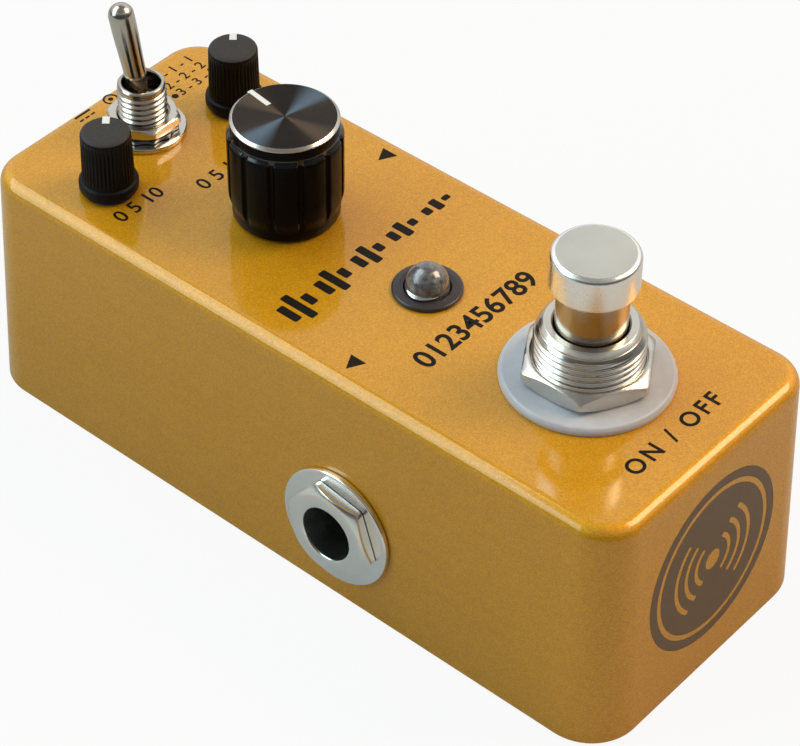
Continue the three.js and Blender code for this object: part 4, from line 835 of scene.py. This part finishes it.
def ribbon():
    """Eight bonded conductors, bowed a little on their way from the small board up to the main one."""
    wires, width, low, high, bow = 8, 10, 9.4, 20.5, 0.5
    web_half, wire_gain = 0.28, 0.12
    rows = []
    for t in np.linspace(0, 1, 25):
        x = np.linspace(-width / 2, width / 2, wires * 8 + 1)
        half = web_half + wire_gain * np.sqrt(np.abs(np.sin(np.pi * (x / width + 0.5) * wires)))
        y = RIBBON_Y + bow * math.sin(math.pi * t) ** 2
        z = np.full(len(x), low + (high - low) * t)
        front_side = np.stack([x, y - half, z], axis=1)
        rows.append(np.concatenate([front_side, np.stack([x, y + half, z], axis=1)[::-1]]))
    points, faces = grid(rows)
    cable = piece("ribbon_of_eight_wires", points, faces, ribbon_grey, "case")
    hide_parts("ribbon_cable")


def power_pin():
    """The pin in the rear wall's power socket, with its tip 1 mm behind the socket's face."""
    radius, inner_end, tip = 1.05, 35.95, POWER_FACE - 1
    rows = soft([(AXIS, inner_end), (radius, inner_end), (radius, tip, 0.45), (AXIS, tip)], steps=8)
    solid("power_socket_pin", rows, nickel, "case", rear_frame(0), ["power_jack_pin"], 48)


case_shell()
foot_washer()
foot_nut()
foot_bushing()
foot_plunger()
foot_cap()
foot_spring()
lamp_collar()
lamp_dome()
time_knob()
time_disc()
time_pointer()
small_knob("level", -1)
small_knob("feedback", 1)
toggle_washers()
toggle_nut()
toggle_bushing()
toggle_lever()
socket("output", -1, OUTPUT_Y)
socket("input", 1, INPUT_Y)
ribbon()
power_pin()


# Prints: thin layers on the paint
PRINT_LIFT = 0.012
PRINT_THICK = 0.01
TOP_FACE = shift(0, 0, TOP)


def layer(name, curve, where, material):
    """A curve as a mesh that lies on a face of the case."""
    carrier = bpy.data.objects.new(name + "_outline", curve)
    bpy.context.scene.collection.objects.link(carrier)
    mesh = bpy.data.meshes.new_from_object(carrier.evaluated_get(bpy.context.evaluated_depsgraph_get()))
    bpy.data.objects.remove(carrier)
    mesh.transform(Matrix.Scale(MM, 4) @ where @ Matrix.Translation((0, 0, PRINT_LIFT)))
    mesh.materials.clear()
    mesh.materials.append(material)
    mesh.name = name
    obj = bpy.data.objects.new(name, mesh)
    bpy.context.scene.collection.objects.link(obj)
    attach(obj, "case")


def flat(name, outlines, where=TOP_FACE, material=black_ink):
    """A layer whose outlines are closed loops of points. An inner loop is a hole."""
    curve = bpy.data.curves.new(name, "CURVE")
    curve.dimensions = "2D"
    curve.fill_mode = "BOTH"
    curve.extrude = PRINT_THICK / 2
    for loop in outlines:
        spline = curve.splines.new("POLY")
        spline.points.add(len(loop) - 1)
        for p, (x, y) in zip(spline.points, loop):
            p.co = (x, y, 0, 1)
        spline.use_cyclic_u = True
    layer(name, curve, where, material)


def numerals(name, body, x, y, size, weight, spacing=1.0):
    """Plain figures or a switch's ON and OFF."""
    text = bpy.data.curves.new(name, "FONT")
    text.body = body
    text.size = size
    text.align_x = "CENTER"
    text.align_y = "CENTER"
    text.space_character = spacing
    text.extrude = PRINT_THICK / 2
    text.offset = weight
    layer(name, text, shift(x, y, TOP), black_ink)


def box(x0, y0, x1, y1):
    return [(x0, y0), (x1, y0), (x1, y1), (x0, y1)]


def circle(x, y, radius, sides):
    return arc(x, y, radius, 0, TAU, sides + 1)[:-1]


def arrow(name, tip, back, low, high):
    flat(name, [[tip, (back, low), (back, high)]])


def echo_sign():
    """A beat of three bars and its repeats, each lower than the last."""
    left, middle_y, repeat_step, bar_step = -12.9, 2.4, 5.75, 1.62
    bar_half, corner, tallest, loss_share, bar_shares = 0.54, 0.22, 4.8, 0.15, (0.62, 1, 0.4)
    bars = []
    for repeat in range(5):
        for beat, share in enumerate(bar_shares):
            x = left + repeat * repeat_step + beat * bar_step
            half = tallest * share * (1 - loss_share * repeat) / 2
            bars.append(rounded(x, middle_y, bar_half, half, corner, 5))
    flat("echo_sign_print", bars)


def power_sign():
    """The direct-current sign and its polarity."""
    x, y, thick, line, line_lift, dash, dash_step = -4, 43.1, 0.25, 2.4, 0.85, 0.6, 0.9
    loops = [box(x, y + line_lift, x + line, y + line_lift + thick)]
    loops += [box(x + i * dash_step, y, x + i * dash_step + dash, y + thick) for i in range(3)]
    ring_x, ring_y, wire_half, wire_start, wire_end = 1.4, 43.6, 0.1, 2.5, 4
    for radius, sides in ((0.95, 40), (0.72, 40), (0.32, 24)):
        loops.append(circle(ring_x, ring_y, radius, sides))
    loops.append(box(wire_start, ring_y - wire_half, wire_end, ring_y + wire_half))
    flat("power_sign_print", loops)


arrow("input_arrow_print", tip=(13.4, 12.5), back=15.45, low=11.37, high=13.53)
arrow("output_arrow_print", tip=(-15.4, -7.95), back=-13.36, low=-9.05, high=-6.91)
echo_sign()
numerals("row_numerals_print", "0123456789", x=-0.2, y=-13.4, size=3.75, weight=0.075, spacing=1.02)
numerals("switch_print", "ON / OFF", x=-0.5, y=-39.95, size=2.9, weight=0.06, spacing=1.3)
for control, x, y in (("level", -10.3, 27.5), ("feedback", 10.3, 27.5), ("time", 0, 24.5)):
    numerals(f"{control}_numerals_print", "0 5 10", x, y, size=2.75, weight=0.035)
for row, body, x, y in (("one", "1 - 1 - 1", 10.4, 42.1), ("two", "2 - 2 - 2", 10.4, 40.2),
                        ("three", "3 - 3 - 3", 10.6, 38.3)):
    numerals(f"toggle_{row}_print", body, x, y, size=1.95, weight=0.015)
flat("toggle_bullet_print", [circle(6.8, 38.3, radius=0.42, sides=24)])
power_sign()


# Badge on the front wall: a round field with a ring and a sign of its own
def arc_band(radius, width, middle, half, steps=28):
    """A bent stroke with round ends."""
    first, last = math.radians(middle - half), math.radians(middle + half)
    loop = []
    for side, start, end in ((1, first, last), (-1, last, first)):
        loop += arc(0, 0, radius + side * width / 2, start, end, steps)
        x, y = radius * math.cos(end), radius * math.sin(end)
        turn = end + (1 - side) * QUARTER
        loop += arc(x, y, width / 2, turn, turn + math.pi, 9)[1:-1]
    return loop


def badge():
    y = -(HALF_LENGTH - math.tan(LEAN) * (BADGE_LIFT - RIM))
    wall = axes_frame(((1, 0, 0), (0, SIN_LEAN, COS_LEAN), (0, -COS_LEAN, SIN_LEAN)), (0, y, BADGE_LIFT))
    outer, ring, field, dot, stroke = 10.95, 9.72, 9.08, 1.25, 0.62
    sign = [circle(0, 0, dot, 40)]
    for radius, half in ((2.9, 52), (4.65, 50), (6.4, 47)):
        sign += [arc_band(radius, stroke, 0, half), arc_band(radius, stroke, 180, half)]
    flat("badge_outer_print", [circle(0, 0, outer, 128), circle(0, 0, ring, 128)], wall, badge_ink)
    flat("badge_inner_print", [circle(0, 0, field, 128)] + sign, wall, badge_ink)


badge()


# Finishes of the pieces that come straight from the model
plain = {
    "base_plate": plate_paint, "base_pad": rubber, "main_board": board_green, "delay_chip": housing_black,
    "audio_chip": housing_black, "power_capacitor": zinc, "footswitch_board": phenolic,
    "level_pot_body": switch_blue, "level_pot_shaft": nickel, "feedback_pot_body": switch_blue,
    "feedback_pot_shaft": nickel, "time_pot_body": switch_blue, "time_pot_shaft": brass,
    "toggle_body": switch_red, "footswitch_body": switch_blue, "footswitch_lock_washer": steel,
    "output_jack_housing": housing_black, "output_jack_contact": steel, "input_jack_housing": housing_black,
    "input_jack_contact": steel, "power_jack_body": housing_black,
}
for number in (1, 2, 3, 4):
    plain[f"base_screw_{number}"] = zinc
for name, material in plain.items():
    data = nodes[name].data
    data.materials.clear()
    data.materials.append(material)


# Floor, world and lights, in metres
def floor_material():
    """Pale and matt, with the object's shadow on it. The camera sees it almost white."""
    material = bpy.data.materials.new("studio_floor")
    tree = empty_tree(material)
    path = node(tree, "ShaderNodeLightPath").outputs
    white_share = calculate(tree, "MAXIMUM", calculate(tree, "MULTIPLY", path["Is Camera Ray"], 0.92),
                            calculate(tree, "MULTIPLY", path["Is Transmission Ray"], 0.9))
    matt = node(tree, "ShaderNodeBsdfDiffuse", {"Color": (0.56, 0.56, 0.56, 1)}).outputs[0]
    glow = node(tree, "ShaderNodeEmission").outputs[0]
    mix = node(tree, "ShaderNodeMixShader", {0: white_share, 1: matt, 2: glow}).outputs[0]
    node(tree, "ShaderNodeOutputMaterial", {"Surface": mix})
    return material


def studio_floor():
    half = 3.0
    mesh = bpy.data.meshes.new("studio_floor")
    corners = [(-half, -half, 0), (half, -half, 0), (half, half, 0), (-half, half, 0)]
    mesh.from_pydata(corners, [], [(0, 1, 2, 3)])
    mesh.materials.append(floor_material())
    floor = bpy.data.objects.new("studio_floor", mesh)
    bpy.context.scene.collection.objects.link(floor)


def studio_world():
    """White behind the object, and dim as a light on it. Shiny faces see a pale room that is darker overhead
    and dark on the side where the photographer stood."""
    world = bpy.data.worlds.new("studio")
    bpy.context.scene.world = world
    tree = empty_tree(world)
    path = node(tree, "ShaderNodeLightPath").outputs
    toward = node(tree, "ShaderNodeTexCoord").outputs["Generated"]

    def band(axis, start, end, low, high):
        along = node(tree, "ShaderNodeVectorMath", {0: toward, 1: axis}, operation="DOT_PRODUCT")
        return map_range(tree, along.outputs["Value"], start, end, low, high, "SMOOTHSTEP")

    walls = band((0.40, 0.36, 1.0), start=0.05, end=0.72, low=0.08, high=1.0)
    ceiling = band((0, 0, 1.0), start=0.715, end=0.80, low=1.0, high=0.28)
    room = calculate(tree, "MULTIPLY", walls, ceiling)
    camera_ray = path["Is Camera Ray"]
    shown = calculate(tree, "MAXIMUM", camera_ray, path["Is Glossy Ray"], path["Is Transmission Ray"])
    direct = calculate(tree, "MAXIMUM", camera_ray, room)
    strength = map_range(tree, shown, 0, 1, low=0.34, high=direct)
    back = node(tree, "ShaderNodeBackground", {"Color": (1, 1, 1, 1), "Strength": strength}).outputs[0]
    node(tree, "ShaderNodeOutputWorld", {"Surface": back})


def softbox(name, place, along, width, height, power, colour):
    """A rectangular lamp that faces the object, with its width along a direction."""
    aim = Vector((0, 0, 0.02))
    lamp = bpy.data.lights.new(name, "AREA")
    lamp.shape = "RECTANGLE"
    lamp.size = width
    lamp.size_y = height
    lamp.energy = power
    lamp.color = colour
    obj = bpy.data.objects.new(name, lamp)
    bpy.context.scene.collection.objects.link(obj)
    away = (Vector(place) - aim).normalized()
    long_axis = (Vector(along) - away * away.dot(Vector(along))).normalized()
    obj.matrix_world = axes_frame((long_axis, away.cross(long_axis), away), place)


studio_floor()
studio_world()
softbox("softbox_left", place=(-0.325, 0.43, 0.49), along=(1, 0, 0.4), width=1.0, height=0.4, power=4.6,
        colour=(0.66, 0.90, 1.0))
softbox("softbox_right", place=(0.38, -0.29, 0.53), along=(0, 1, 0), width=0.34, height=0.34, power=3.2,
        colour=(1.0, 0.80, 0.55))


# Camera at the photograph's angle
def photo_camera():
    """The camera that was fitted to the photograph. Its target and distance are in millimetres."""
    azimuth, elevation, roll = math.radians(-48.08), math.radians(43.92), math.radians(-0.47)
    target, distance = Vector((0, 7.81, 0.5)), 343.7
    back = Vector((math.sin(azimuth) * math.cos(elevation), -math.cos(azimuth) * math.cos(elevation),
                   math.sin(elevation)))
    level = (-back).cross(Vector((0, 0, 1))).normalized()
    upright = level.cross(-back)
    right = math.cos(roll) * level + math.sin(roll) * upright
    up = math.cos(roll) * upright - math.sin(roll) * level
    lens = bpy.data.cameras.new("camera")
    lens.lens = 130.73
    lens.sensor_width = 36
    lens.shift_x = 0.08415
    lens.shift_y = 0.07511
    lens.clip_start = 0.01
    lens.clip_end = 20
    camera = bpy.data.objects.new("camera", lens)
    bpy.context.scene.collection.objects.link(camera)
    camera.matrix_world = axes_frame((right, up, back), (target + back * distance) * MM)
    return camera


bpy.context.scene.camera = photo_camera()
bpy.context.scene.view_settings.view_transform = "Standard"
